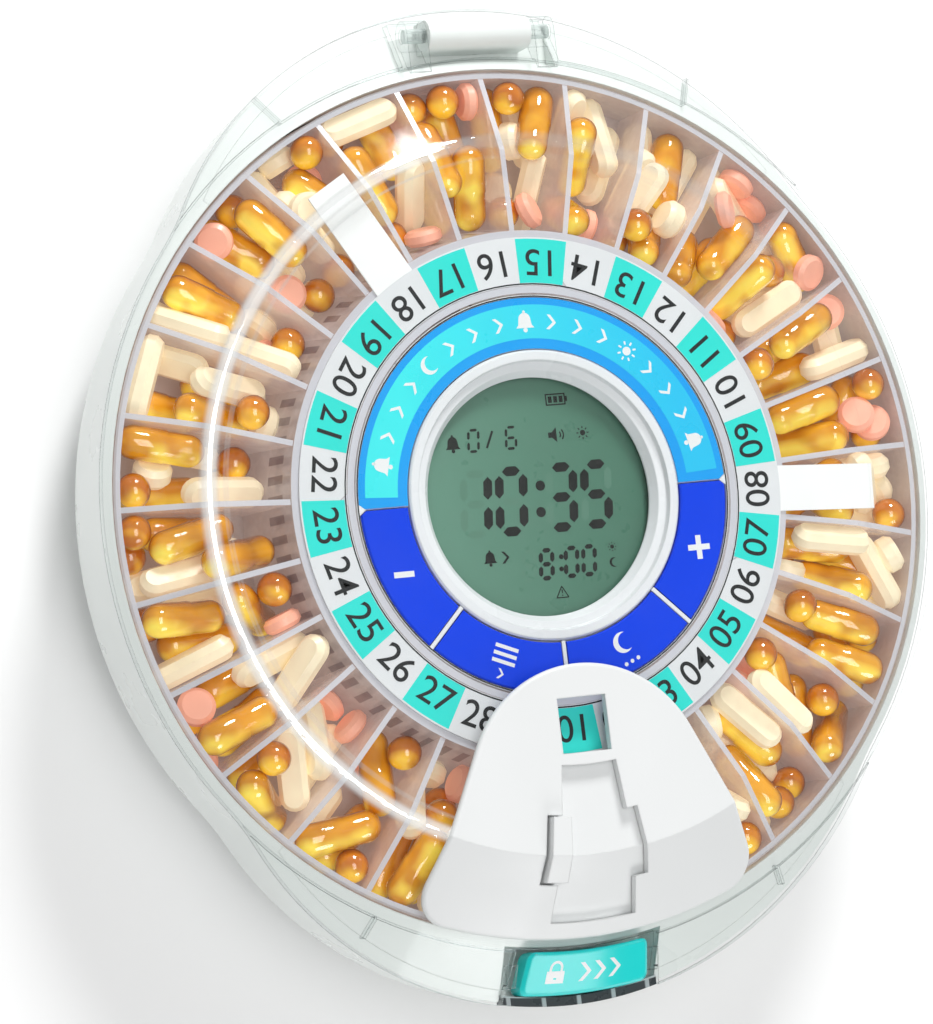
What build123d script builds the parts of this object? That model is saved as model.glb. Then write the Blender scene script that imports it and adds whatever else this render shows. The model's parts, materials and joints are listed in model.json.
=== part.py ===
from build123d import *
import math
import os

# An automatic pill dispenser with a clear hinged lid over a motor-driven carousel.
# Millimetres. The origin is on the table, under the carousel's axis, which is +Z.
# The latch is at the front (-Y), the hinge at the back (+Y), +X is to the right.

# ---- walls and running gaps ----
SHELL_WALL = 2.0
LID_WALL = 2.0
TRAY_WALL = 1.4
RUNNING_GAP = 0.05          # shafts and pins in their bores
SIDE_GAP = 0.3              # between neighbouring mouldings

# ---- underside ----
FOOT_HEIGHT = 1.0           # how far the feet stand out
FOOT_RADIUS = 6.0
FOOT_THICKNESS = 2.0
COVER_THICKNESS = 2.0       # bottom cover
LEDGE_THICKNESS = 2.0       # ledge of the shell behind the bottom cover
LEDGE_WIDTH = 6.5
SCREW_RADIUS = 1.25
SCREW_HEAD_RADIUS = 2.7
SCREW_HEAD_HEIGHT = 1.2
SCREW_BOSS_RADIUS = 3.0
POST_RADIUS = 4.0
SHELL_BOTTOM = FOOT_HEIGHT
COVER_INNER_Z = SHELL_BOTTOM + COVER_THICKNESS

# ---- batteries ----
CELL_RADIUS = 7.25
CELL_LENGTH = 50.5
CELL_COUNT = 4
CELL_PITCH = 2 * CELL_RADIUS + 0.5
NUB_RADIUS = 2.6
NUB_LENGTH = 1.2
CONTACT_ROOM = 2.0          # at each end of a cell
CONTACT_LEAF = 0.35
BAY_WALL = 1.2
DOOR_BARREL_RADIUS = 1.05   # battery door's hinge
DOOR_TRUNNION_RADIUS = 0.75
BAY_FRONT = -10.25          # the bay's edge next to the axis
BAY_LENGTH = CELL_LENGTH + 2 * CONTACT_ROOM
BAY_CENTRE_Y = BAY_FRONT - BAY_LENGTH / 2
BAY_HALF_WIDTH = CELL_COUNT * CELL_PITCH / 2
CELL_Z = COVER_INNER_Z + CELL_RADIUS + 1.0
BAY_ROOF = CELL_Z + CELL_RADIUS + 0.3

# ---- heights above the table ----
CHASSIS_THICKNESS = 2.0
TRAY_LIFT = 0.5             # carousel's floor over the chassis plate
TRAY_DEPTH = 22.4           # from the carousel's underside to the number ring's ledge
CARD_THICKNESS = 0.6
LID_ROOM = 4.5              # lid's top over the number ring
CHASSIS_BOTTOM = BAY_ROOF + BAY_WALL + SCREW_HEAD_HEIGHT + 0.3
CHASSIS_TOP = CHASSIS_BOTTOM + CHASSIS_THICKNESS
TRAY_BOTTOM = CHASSIS_TOP + TRAY_LIFT
FLOOR_TOP = TRAY_BOTTOM + TRAY_WALL
LEDGE_TOP = TRAY_BOTTOM + TRAY_DEPTH
RING_TOP = LEDGE_TOP + CARD_THICKNESS   # printed face of the number ring
LID_TOP = RING_TOP + LID_ROOM
TALL = 3 * LID_TOP          # longer than the dispenser is high

# ---- central module, from the screen outwards ----
SCREEN_RADIUS = 25.7        # visible part of the screen
LENS_RADIUS = SCREEN_RADIUS + 1.8
BEZEL_STEP = SCREEN_RADIUS + 1.5
BEZEL_HOLE = LENS_RADIUS + 1.4          # hole in the deck around the bezel's skirt
BEZEL_FLAT = LENS_RADIUS + 1.7          # inner edge of the bezel's flat face
KEY_INNER = BEZEL_FLAT + 2.4
KEY_WIDTH = 11.3
MODULE_RIM = 0.5
MODULE_RADIUS = KEY_INNER + KEY_WIDTH + MODULE_RIM
TOWER_RADIUS = MODULE_RADIUS - 1.0
TOWER_WALL = 2.0
DECK_TOP = RING_TOP - 2.0
DECK_THICKNESS = 1.6
KEY_GAP = 0.25
KEY_TRAVEL = 0.6
KEY_THICKNESS = 1.4
KEY_TOP = RING_TOP + 0.1
KEY_EDGE = 0.3
KEY_RIB = 0.9
KEY_STEM_RADIUS = 1.7
KEY_SWEEP = 45.0            # degrees
KEY_STARTS = {"minus_key": 180.0, "menu_key": 225.0, "sleep_key": 270.0, "plus_key": 315.0}
SWITCH_RING = KEY_INNER + KEY_WIDTH / 2
BEZEL_TOP = RING_TOP + 0.3
LENS_TOP = RING_TOP - 3.8
LENS_THICKNESS = 1.2
PANEL_THICKNESS = 2.0
BOARD_TOP = RING_TOP - 7.6
BOARD_THICKNESS = 1.6
BOARD_RADIUS = TOWER_RADIUS - TOWER_WALL - 1.2
BANNER_THICKNESS = 0.4

# ---- carousel, from the module outwards ----
PLACES = 29                 # 28 numbered compartments and one blank home place
STEP_ANGLE = 360 / PLACES
TRAY_RUNNING_GAP = 0.4      # hub to module
TRAY_BORE = MODULE_RADIUS + TRAY_RUNNING_GAP
HUB_RIM_WIDTH = 1.5
HUB_RIM_PROUD = 0.2
CARD_GAP = 0.16             # card to the hub's rim
CARD_INNER = TRAY_BORE + HUB_RIM_WIDTH + CARD_GAP
CARD_OUTER = CARD_INNER + 10.54
HUB_TOP_RADIUS = CARD_OUTER + 1.6       # hub wall where it meets the ledge
HUB_FLARE = 3.9                         # how far the hub wall leans out towards the floor
HUB_FOOT_RADIUS = HUB_TOP_RADIUS + HUB_FLARE
KEY_NOTCHES = (77.6, 176.9, 338.3)      # degrees, V lugs that key the card to the hub
TRAY_RADIUS = 94.0
DIVIDER_THICKNESS = 1.2
DIVIDER_TOP = LEDGE_TOP - 0.4
STRIP_ENDS = ((8, 79.0), (18, 81.0))    # compartment number, outer radius of its blank strip
STRIP_WIDTH = 10.0
STRIP_THICKNESS = 0.5

# ---- lid profile ----
SHOULDER_RADIUS = TRAY_RADIUS + 1.0     # crease between conical band and flange
CONE_WIDTH = 17.5
LID_FLAT_RADIUS = SHOULDER_RADIUS - CONE_WIDTH   # crease between flat top and conical band
SHOULDER_DROP = 9.5         # from the flat top down to the shoulder
FLANGE_SLOPE = 0.62         # drop per millimetre outwards
TRAY_RIM = LID_TOP - SHOULDER_DROP - 3.0         # top of the carousel's outer wall
DIVIDER_BEND = LID_FLAT_RADIUS - 2.0    # radius where the divider's top edge starts to fall
CREASE_ROUND = 3.0          # round along the flat top's edge

# ---- case plan: a round body with a blunt nose at each end ----
WELL_GAP = 0.5              # carousel to shell
WELL_RADIUS = TRAY_RADIUS + WELL_GAP
SIDE_RADIUS = WELL_RADIUS + SHELL_WALL + 0.5
NOSE_LENGTH = 12.5          # how far each nose stands out past the round body
NOSE_CENTRE = 27.9          # distance of each nose's arc centre from the axis
NOSE_REACH = SIDE_RADIUS + NOSE_LENGTH
NOSE_RADIUS = NOSE_REACH - NOSE_CENTRE
BLEND_RADIUS = 60.0         # hollow blend between body and nose
DRAFT = 2.2                 # degrees, outer wall leans inwards towards the table
BOTTOM_CURVE = 18.0         # large round along the bottom edge
RECESS_INSET = BOTTOM_CURVE + 4.0       # bottom opening, measured in from the case plan
LEDGE_INSET = RECESS_INSET + LEDGE_WIDTH
FOOT_RING = SIDE_RADIUS - RECESS_INSET - FOOT_RADIUS / 2
FOOT_X = BAY_HALF_WIDTH + BAY_WALL + FOOT_RADIUS + 1.0      # beside the battery bay
FOOT_ANGLE = math.degrees(math.acos(FOOT_X / FOOT_RING))    # direction of a foot seen from the axis
GROOVE_RADIUS = SIDE_RADIUS + 0.2       # thin groove that parts the lid's round rim from its noses
GROOVE_WIDTH = 0.4
GROOVE_DEPTH = 0.7
SLIT_ANGLE = 29.0           # degrees from the front centre line
SLIT_OUTER = SIDE_RADIUS + 5.0
SLIT_WIDTH = 0.5

# ---- drive ----
RING_TEETH = 3 * PLACES
PINION_TEETH = 12
DRIVE_MODULE = 1.15
RING_ADDENDUM = 0.6         # in modules, shortened so that the pinion's roots stay clear
RING_GEAR_RIM = 3.0
RING_GEAR_HEIGHT = 6.0
WHEEL_TEETH = 40
MOTOR_TEETH = 12
TRAIN_MODULE = 0.8
WHEEL_ADDENDUM = 0.75
PRESSURE_ANGLE = 20.0
TOOTH_PLAY = 0.15           # taken off each tooth's thickness at the pitch circle
DEDENDUM = 1.25             # in modules
WHEEL_BOTTOM = CHASSIS_BOTTOM - 7.0
WHEEL_THICKNESS = 3.8
SHAFT_RADIUS = 2.0
BUSH_RADIUS = 3.5
MOTOR_RADIUS = 12.2
MOTOR_HEIGHT = 13.5
MOTOR_SHAFT_RADIUS = 1.0
RING_PITCH = RING_TEETH * DRIVE_MODULE / 2
PINION_PITCH = PINION_TEETH * DRIVE_MODULE / 2
RING_GEAR_OUTER = RING_PITCH + DEDENDUM * DRIVE_MODULE + RING_GEAR_RIM
FLOOR_BORE = RING_GEAR_OUTER - 2.2      # the floor carries the ring gear's rim
DRIVE_Y = RING_PITCH - PINION_PITCH
MOTOR_Y = DRIVE_Y - (WHEEL_TEETH + MOTOR_TEETH) * TRAIN_MODULE / 2

# ---- sector cover, window, slide door ----
COVER_PROUD = 1.2           # cover's face above the lid's
COVER_HALF_ANGLE = 25.4
COVER_ARCH_CENTRE = CARD_OUTER + 8.5
COVER_OUTER = SHOULDER_RADIUS
COVER_CORNER = 7.0
COVER_EDGE = 0.8            # round along the cover's upper outline
COVER_LEDGE = 3.0           # how far the cover overlaps the lid
CUTOUT_OUTER = COVER_OUTER - 1.0
PLUG_GAP = 0.2
PLUG_DEPTH = 0.8            # plug below the lid's outer face
WINDOW_HALF_WIDTH = 5.6
WINDOW_INNER = TRAY_BORE + 0.2
WINDOW_OUTER = CARD_OUTER - 0.2
HATCH_HALF_ANGLE = STEP_ANGLE / 2
HATCH_INNER = HUB_TOP_RADIUS + 0.8
HATCH_OUTER = TRAY_RADIUS - 2.5
TRACK_INNER = HUB_FOOT_RADIUS + 7.5
TRACK_OUTER = TRAY_RADIUS - 10.4
TRACK_LEFT = -9.1           # degrees from the front centre line
TRACK_RIGHT = 8.3
DOOR_THICKNESS = 1.2
DOOR_OVERLAP = 1.0          # how far the door reaches under the cover
DOOR_LEFT = -9.4
DOOR_RIGHT = 9.0
DOOR_TRAVEL = 12.5
GRIP_ANGLE = -7.0
GRIP_WIDTH = 4.5
GRIP_PROUD = 2.3
GUIDE_WALL = 1.0
GUIDE_LIP = 0.7

# ---- latch ----
LATCH_GAP_HALF = 16.6       # gap in the lid's flange
BUTTON_HALF = 13.9
LATCH_HALF_ANGLE = math.degrees(LATCH_GAP_HALF / SIDE_RADIUS)
BUTTON_HALF_ANGLE = math.degrees(BUTTON_HALF / SIDE_RADIUS)
BUTTON_INNER = SIDE_RADIUS + 0.5
BUTTON_OUTER = NOSE_REACH - 2.6
BUTTON_PROUD = 1.3
BUTTON_DEPTH = 4.7
BUTTON_CORNER = 1.8
BUTTON_EDGE = 0.8
LATCH_FLOOR = LID_TOP - 25.0
HOOK_INNER = LATCH_GAP_HALF - 0.8
HOOK_OUTER = HOOK_INNER + 2.0
HOOK_FRONT = -(NOSE_REACH - 5.5)
HOOK_BACK = -(SIDE_RADIUS + 2.0)
LATCH_POCKET_HALF = HOOK_OUTER + 0.5
SPRING_RADIUS = 2.4
SPRING_WIRE = 0.5
SPRING_LENGTH = 4.5
SPRING_X = 8.0
SPRING_Y = -(SIDE_RADIUS + 5.0)
SPRING_TOP = LATCH_FLOOR + SPRING_LENGTH
TRIM_BOTTOM = LATCH_FLOOR + 3.0
TRIM_TOP = TRIM_BOTTOM + 3.8
TRIM_THICKNESS = 2.0
TRIM_RIBS = 7

# ---- hinge ----
PIN_RADIUS = 1.5
KNUCKLE_RADIUS = PIN_RADIUS + 1.9
KNUCKLE_HALF = 12.0
EAR_INNER = KNUCKLE_HALF + 0.6
EAR_OUTER = EAR_INNER + 4.8
HINGE_Y = NOSE_REACH - 7.0
HINGE_Z = LID_TOP - 12.5
HINGE_POCKET_HALF = EAR_OUTER + 1.1
HINGE_POCKET_BACK = NOSE_REACH - 3.2
HINGE_POCKET_FLOOR = HINGE_Z - 5.5
HINGE_COVER_HALF_ANGLE = 29.5

# ---- directions and far limits ----
FRONT = 270.0               # degrees, direction of the latch seen from the axis
BACK = 90.0
FAR = NOSE_REACH + 20.0     # outside the case in every direction
DECK_DROP = LID_WALL / math.cos(math.atan(FLANGE_SLOPE)) + SIDE_GAP   # deck under the lid's outer face
DECK_BOTTOM = CHASSIS_BOTTOM - 2.0
DECK_INSET = SHELL_WALL + (LID_TOP - DECK_BOTTOM + 2.0) * math.tan(math.radians(DRAFT))
DECK_HALF_ANGLE = 44.0      # each nose's deck reaches this far round
LATCH_FRONT = -(NOSE_REACH - TRIM_THICKNESS)


# ---------------------------------------------------------------- helpers
def turned(points, start=0.0, sweep=360.0):
    """A closed (radius, height) outline turned about the carousel's axis."""
    profile = make_face(Polyline(*[(r, 0, z) for r, z in points], close=True))
    return Rot(0, 0, start) * revolve(profile, Axis.Z, sweep)


def tube(inner, outer, bottom, top):
    return turned([(inner, bottom), (outer, bottom), (outer, top), (inner, top)])


def disc(radius, bottom, top, x=0.0, y=0.0):
    return Pos(x, y, (bottom + top) / 2) * Cylinder(radius, top - bottom)


def rod(radius, half_length, y, z, x=0.0):
    """A round bar along X."""
    return Pos(x, y, z) * Rot(0, 90, 0) * Cylinder(radius, 2 * half_length)


def block(x_low, x_high, y_low, y_high, z_low, z_high):
    centre = Pos((x_low + x_high) / 2, (y_low + y_high) / 2, (z_low + z_high) / 2)
    return centre * Box(x_high - x_low, y_high - y_low, z_high - z_low)


def polar(radius, angle):
    return radius * math.cos(math.radians(angle)), radius * math.sin(math.radians(angle))


def case_plan(inset=0.0):
    """The case's outline, drawn in from the outer edge by inset."""
    plan = Circle(SIDE_RADIUS - inset)
    for side in (-1, 1):
        plan += Pos(0, side * NOSE_CENTRE) * Circle(NOSE_RADIUS - inset)
    corners = [v for v in plan.vertices() if abs(v.X) > NOSE_CENTRE and abs(v.Y) > NOSE_CENTRE]
    return fillet(corners, BLEND_RADIUS + inset)


def case_column(inset, bottom, top):
    return extrude(Plane.XY.offset(bottom) * case_plan(inset), top - bottom)


def drafted_column(inset, bottom):
    downwards = Plane(origin=(0, 0, LID_TOP), z_dir=(0, 0, -1))
    return extrude(downwards * case_plan(inset), LID_TOP - bottom, taper=DRAFT)


def bottom_rim(column):
    return column.faces().sort_by(Axis.Z)[0].edges()


def lid_height(radius):
    """Height of the lid's outer face."""
    if radius <= LID_FLAT_RADIUS:
        return LID_TOP
    if radius <= SHOULDER_RADIUS:
        return LID_TOP - SHOULDER_DROP * (radius - LID_FLAT_RADIUS) / CONE_WIDTH
    return LID_TOP - SHOULDER_DROP - FLANGE_SLOPE * (radius - SHOULDER_RADIUS)


def lid_layer(inner, outer, above, below, start=0.0, sweep=360.0):
    """A layer that follows the lid's outer face, from height above it to height below it."""
    creases = [r for r in (LID_FLAT_RADIUS, SHOULDER_RADIUS) if inner < r < outer]
    radii = [inner] + creases + [outer]
    upper = [(r, lid_height(r) + above) for r in radii]
    lower = [(r, lid_height(r) + below) for r in reversed(radii)]
    return turned(upper + lower, start, sweep)


def wedge(inner, outer, left, right, bottom=0.0, top=TALL):
    """A block between two radii and two angles, counted from the front centre line."""
    outline = [(inner, bottom), (outer, bottom), (outer, top), (inner, top)]
    return turned(outline, FRONT + left, right - left)


def pieces(shapes):
    """Separate solids kept side by side in one sub-part."""
    return Compound(children=[solid for shape in shapes for solid in shape.solids()])


def screw(x, y, head_bottom, head_top, tip):
    """A pan-head screw whose shank runs from its head to its tip, up or down."""
    low, high = sorted((tip, (head_bottom + head_top) / 2))
    return disc(SCREW_HEAD_RADIUS, head_bottom, head_top, x, y) + disc(SCREW_RADIUS, low, high, x, y)


def involute_angle(radius, base):
    """How far an involute has turned away from its start at a radius."""
    if radius <= base:
        return 0.0
    roll = math.sqrt((radius / base) ** 2 - 1)
    return roll - math.atan(roll)


def tooth_row(teeth, module, tip, root, play, flank_steps, first_angle):
    """Corner points of a row of involute teeth, one tooth centred on first_angle."""
    pitch = teeth * module / 2
    base = pitch * math.cos(math.radians(PRESSURE_ANGLE))
    half_tooth = (math.pi * module / 2 - play) / (2 * pitch)
    radii = [root + (tip - root) * i / flank_steps for i in range(flank_steps + 1)]
    rising = [(r, half_tooth + involute_angle(pitch, base) - involute_angle(r, base)) for r in radii]
    points = []
    for tooth in range(teeth):
        centre = math.radians(first_angle) + 2 * math.pi * tooth / teeth
        for r, half in rising:
            points.append((r * math.cos(centre - half), r * math.sin(centre - half)))
        for r, half in reversed(rising):
            points.append((r * math.cos(centre + half), r * math.sin(centre + half)))
    return points


def spur_gear(teeth, module, addendum, y, bottom, top, bore, first_angle, flank_steps=3):
    pitch = teeth * module / 2
    outline = tooth_row(teeth, module, pitch + addendum * module, pitch - DEDENDUM * module,
                        TOOTH_PLAY, flank_steps, first_angle)
    gear = extrude(make_face(Polyline(*outline, close=True)), top - bottom)
    return Pos(0, y, bottom) * gear - disc(bore, bottom - 1, top + 1, 0, y)


# ---------------------------------------------------------------- base body
def screw_places():
    """Where the bottom cover is screwed to the shell's ledge."""
    middle = RECESS_INSET + LEDGE_WIDTH / 2
    places = [(SIDE_RADIUS - middle, 0), (middle - SIDE_RADIUS, 0)]
    for side in (-1, 1):
        for angle in (30, 150):
            x, y = polar(NOSE_RADIUS - middle, angle)
            places.append((x, side * (y + NOSE_CENTRE)))
    return places


def post_places():
    """Where the chassis plate is screwed to the shell's posts."""
    return [polar(WELL_RADIUS - POST_RADIUS - 2.5, angle) for angle in range(0, 360, 60)]


def foot_places():
    angles = (FOOT_ANGLE, 180 - FOOT_ANGLE, 180 + FOOT_ANGLE, -FOOT_ANGLE)
    return [polar(FOOT_RING, angle) for angle in angles]


def deck_space():
    """Everything above the sloped deck that the lid's flange lies over."""
    space = lid_layer(SHOULDER_RADIUS - 3, FAR, TALL, -DECK_DROP)
    return space + disc(SHOULDER_RADIUS - 2, TRAY_RIM - 2, TALL)


def latch_pocket():
    """The hollow for the latch button, closed by the front wall below the trim."""
    pocket = block(-LATCH_POCKET_HALF, LATCH_POCKET_HALF, -FAR, 0, LATCH_FLOOR, TALL)
    pocket -= disc(WELL_RADIUS + SHELL_WALL, 0, TALL)
    return pocket - block(-LATCH_POCKET_HALF, LATCH_POCKET_HALF, -FAR, LATCH_FRONT, 0, TRIM_BOTTOM)


def hinge_pocket():
    pocket = block(-HINGE_POCKET_HALF, HINGE_POCKET_HALF, 0, FAR, HINGE_POCKET_FLOOR, TALL)
    return pocket - disc(WELL_RADIUS + SHELL_WALL, 0, TALL)


def base_shell():
    """The lower bowl: drafted wall, large round at the bottom edge, ledge and posts inside."""
    column = drafted_column(0, SHELL_BOTTOM)
    bowl = fillet(bottom_rim(column), BOTTOM_CURVE)
    inside = drafted_column(SHELL_WALL, COVER_INNER_Z + LEDGE_THICKNESS)
    inside = chamfer(bottom_rim(inside), BOTTOM_CURVE * 0.6)
    inside &= case_column(DECK_INSET, 0, TALL)
    for side in (90, 270):
        inside -= wedge(WELL_RADIUS - 3, FAR, side - 90 + DECK_HALF_ANGLE, side + 90 - DECK_HALF_ANGLE,
                        DECK_BOTTOM, TALL)
    shell = bowl - inside - disc(WELL_RADIUS, CHASSIS_BOTTOM, TALL) - deck_space() - latch_pocket()
    for x, y in post_places():
        shell += disc(POST_RADIUS, COVER_INNER_Z, CHASSIS_BOTTOM, x, y) & bowl
        shell -= disc(SCREW_RADIUS, CHASSIS_BOTTOM - 10, CHASSIS_BOTTOM, x, y)
    shell -= case_column(RECESS_INSET, 0, COVER_INNER_Z)
    shell -= case_column(LEDGE_INSET, 0, COVER_INNER_Z + LEDGE_THICKNESS + 1)
    for x, y in screw_places():
        shell += disc(SCREW_BOSS_RADIUS, COVER_INNER_Z, COVER_INNER_Z + 7, x, y)
        shell -= disc(SCREW_RADIUS, 0, COVER_INNER_Z + 6, x, y)
    return shell


def under_deck(inner, outer, bottom, drop, centre):
    """A block from a level up to the sloped deck, or up to the deck's underside."""
    rim = [(r, lid_height(r) - drop) for r in (outer, SHOULDER_RADIUS, inner) if r >= inner]
    first = BACK + centre - DECK_HALF_ANGLE
    return turned([(inner, bottom), (outer, bottom)] + rim, first, 2 * DECK_HALF_ANGLE)


def nose_deck(centre, pocket_half, pocket_floor, pocket):
    """The deck between the carousel's well and one nose, with the walls of its pocket."""
    solid = under_deck(WELL_RADIUS, NOSE_REACH, DECK_BOTTOM, DECK_DROP, centre)
    solid &= case_column(DECK_INSET, 0, TALL)
    hollow = under_deck(WELL_RADIUS + SHELL_WALL, NOSE_REACH + 1, 0, DECK_DROP + SHELL_WALL, centre)
    hollow -= block(-pocket_half - SHELL_WALL, pocket_half + SHELL_WALL, -FAR, FAR,
                    pocket_floor - SHELL_WALL, TALL)
    return solid - hollow - pocket


def latch_deck():
    return nose_deck(180, LATCH_POCKET_HALF, LATCH_FLOOR, latch_pocket())


def hinge_deck():
    """The back deck carries the hinge's knuckle."""
    deck = nose_deck(0, HINGE_POCKET_HALF, HINGE_POCKET_FLOOR, hinge_pocket())
    deck += block(-KNUCKLE_HALF, KNUCKLE_HALF, HINGE_Y - KNUCKLE_RADIUS, HINGE_Y + KNUCKLE_RADIUS,
                  HINGE_POCKET_FLOOR, HINGE_Z)
    deck += rod(KNUCKLE_RADIUS, KNUCKLE_HALF, HINGE_Y, HINGE_Z)
    return deck - rod(PIN_RADIUS, KNUCKLE_HALF + 1, HINGE_Y, HINGE_Z)


def chassis_plate():
    plate = disc(WELL_RADIUS - 0.2, CHASSIS_BOTTOM, CHASSIS_TOP)
    plate -= disc(BUSH_RADIUS, 0, TALL, 0, DRIVE_Y)
    plate -= disc(MOTOR_SHAFT_RADIUS + 1, 0, TALL, 0, MOTOR_Y)
    for x, y in post_places():
        plate -= disc(SCREW_RADIUS, 0, TALL, x, y)
        plate -= disc(SCREW_HEAD_RADIUS + 0.2, CHASSIS_TOP - SCREW_HEAD_HEIGHT, TALL, x, y)
    for x, y in module_screw_places():
        plate -= disc(SCREW_RADIUS + 0.1, 0, TALL, x, y)
    return plate - sensor_block(0.1)


def chassis_screws():
    return pieces([screw(x, y, CHASSIS_TOP - SCREW_HEAD_HEIGHT, CHASSIS_TOP, CHASSIS_BOTTOM - 8)
                   for x, y in post_places()])


def door_axis():
    """(y, z) of the battery door's hinge, along the bay's edge next to the axis."""
    return BAY_FRONT - SIDE_GAP - DOOR_BARREL_RADIUS, SHELL_BOTTOM + DOOR_BARREL_RADIUS + 0.05


def bottom_cover():
    plate = case_column(RECESS_INSET + SIDE_GAP, SHELL_BOTTOM, COVER_INNER_Z)
    for x, y in foot_places():
        plate -= disc(FOOT_RADIUS + 0.1, 0, FOOT_THICKNESS, x, y)
    for x, y in screw_places():
        plate -= disc(SCREW_RADIUS + 0.1, 0, TALL, x, y)
        plate -= disc(SCREW_HEAD_RADIUS + 0.2, 0, SHELL_BOTTOM + 0.2 + SCREW_HEAD_HEIGHT, x, y)
    plate -= block(-BAY_HALF_WIDTH, BAY_HALF_WIDTH, BAY_FRONT - BAY_LENGTH, BAY_FRONT, 0, TALL)
    seat_y, seat_z = door_axis()
    seat = DOOR_TRUNNION_RADIUS + RUNNING_GAP
    plate -= rod(seat, BAY_HALF_WIDTH + BAY_WALL, seat_y, seat_z)
    plate -= block(-BAY_HALF_WIDTH - BAY_WALL, BAY_HALF_WIDTH + BAY_WALL, seat_y - seat, seat_y + seat,
                   seat_z, COVER_INNER_Z)
    plate += disc(SHAFT_RADIUS + 2, COVER_INNER_Z, COVER_INNER_Z + 4, 0, DRIVE_Y)
    return plate - disc(SHAFT_RADIUS + RUNNING_GAP, COVER_INNER_Z + 1, TALL, 0, DRIVE_Y)


def cover_screws():
    low = SHELL_BOTTOM + 0.2
    return pieces([screw(x, y, low, low + SCREW_HEAD_HEIGHT, COVER_INNER_Z + 5.5)
                   for x, y in screw_places()])


def rubber_feet():
    feet = []
    for x, y in foot_places():
        foot = disc(FOOT_RADIUS, 0, FOOT_THICKNESS, x, y)
        feet.append(chamfer(foot.edges().group_by(Axis.Z)[0], 0.4))
    return pieces(feet)


def battery_box():
    box = block(-BAY_HALF_WIDTH - BAY_WALL, BAY_HALF_WIDTH + BAY_WALL, BAY_FRONT - BAY_LENGTH - BAY_WALL,
                BAY_FRONT + BAY_WALL, COVER_INNER_Z, BAY_ROOF + BAY_WALL)
    box -= block(-BAY_HALF_WIDTH, BAY_HALF_WIDTH, BAY_FRONT - BAY_LENGTH, BAY_FRONT, 0, BAY_ROOF)
    for gap in range(1, CELL_COUNT):
        x = -BAY_HALF_WIDTH + gap * CELL_PITCH
        box += block(x - 0.6, x + 0.6, BAY_FRONT - BAY_LENGTH, BAY_FRONT, BAY_ROOF - 3.5, BAY_ROOF)
    return box


def cell_x(index):
    return -BAY_HALF_WIDTH + (index + 0.5) * CELL_PITCH


def batteries():
    cells = []
    can_length = CELL_LENGTH - NUB_LENGTH
    for index in range(CELL_COUNT):
        facing = 1 if index % 2 else -1
        can = Pos(0, -facing * NUB_LENGTH / 2, 0) * Rot(90, 0, 0) * Cylinder(CELL_RADIUS, can_length)
        nub = Pos(0, facing * can_length / 2, 0) * Rot(90, 0, 0) * Cylinder(NUB_RADIUS, NUB_LENGTH)
        cells.append(Pos(cell_x(index), BAY_CENTRE_Y, CELL_Z) * (can + nub))
    return pieces(cells)


def battery_contacts():
    """Leaf contacts, one at each end of each cell: flat on the wall, folded back to the cell."""
    leaves = []
    wall = BAY_LENGTH / 2
    cell = CELL_LENGTH / 2
    for index in range(CELL_COUNT):
        for side in (-1, 1):
            outline = [(wall, 5), (wall, -5), (wall - CONTACT_LEAF, -5), (cell, 0), (cell, 1),
                       (cell + CONTACT_LEAF, 1), (cell + CONTACT_LEAF, 0.15), (wall - CONTACT_LEAF, -4),
                       (wall - CONTACT_LEAF, 5)]
            face = make_face(Polyline(*[(0, side * y, z) for y, z in outline], close=True))
            leaves.append(Pos(cell_x(index), BAY_CENTRE_Y, CELL_Z) * extrude(face, 3.5, both=True))
    return pieces(leaves)


def battery_door():
    """The hatch turns on two trunnions at the ends of a barrel along its inner edge."""
    hinge_y, hinge_z = door_axis()
    low_y = BAY_FRONT - BAY_LENGTH + SIDE_GAP
    half = BAY_HALF_WIDTH - SIDE_GAP
    door = block(-half, half, low_y, hinge_y, SHELL_BOTTOM, COVER_INNER_Z - 0.1)
    door += rod(DOOR_BARREL_RADIUS, half, hinge_y, hinge_z)
    door += rod(DOOR_TRUNNION_RADIUS, BAY_HALF_WIDTH + BAY_WALL - 0.2, hinge_y, hinge_z)
    door -= block(-8, 8, low_y + 2, low_y + 5.5, SHELL_BOTTOM, SHELL_BOTTOM + 0.8)
    for line in range(3):
        y = low_y + 9 + 3 * line
        door -= block(-12, 12, y, y + 1.2, SHELL_BOTTOM, SHELL_BOTTOM + 0.5)
    return door


def module_screw_places():
    return [polar(TOWER_RADIUS - TOWER_WALL - 2.6, angle) for angle in (45, 135, 225, 315)]


def module_screws():
    return pieces([screw(x, y, CHASSIS_BOTTOM - SCREW_HEAD_HEIGHT, CHASSIS_BOTTOM, CHASSIS_TOP + 7)
                   for x, y in module_screw_places()])


def v_lug(radius, angle, depth, half_width, bottom, top, grow=0.0):
    """A pointed lug on a rim: depth > 0 points outwards, depth < 0 inwards."""
    bite = 0.4
    root = radius - math.copysign(bite, depth)
    tip = radius + depth + math.copysign(grow, depth)
    spread = half_width * (1 + bite / abs(depth)) + grow
    face = make_face(Polyline((root, -spread), (tip, 0), (root, spread), close=True))
    return Rot(0, 0, angle) * Pos(0, 0, bottom) * extrude(face, top - bottom)


def module_lugs(top=RING_TOP, grow=0.0):
    rim = MODULE_RADIUS - MODULE_RIM
    right, left = [v_lug(rim, angle, -1.5, 1.2, DECK_TOP - 0.5, top, grow) for angle in (0, 180)]
    return right + left


def key_ribs(width, bottom, top):
    ribs = []
    for angle in (225, 270, 315):
        rib = block(KEY_INNER, MODULE_RADIUS - MODULE_RIM, -width / 2, width / 2, bottom, top)
        ribs.append(Rot(0, 0, angle) * rib)
    return ribs[0] + ribs[1] + ribs[2]


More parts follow.
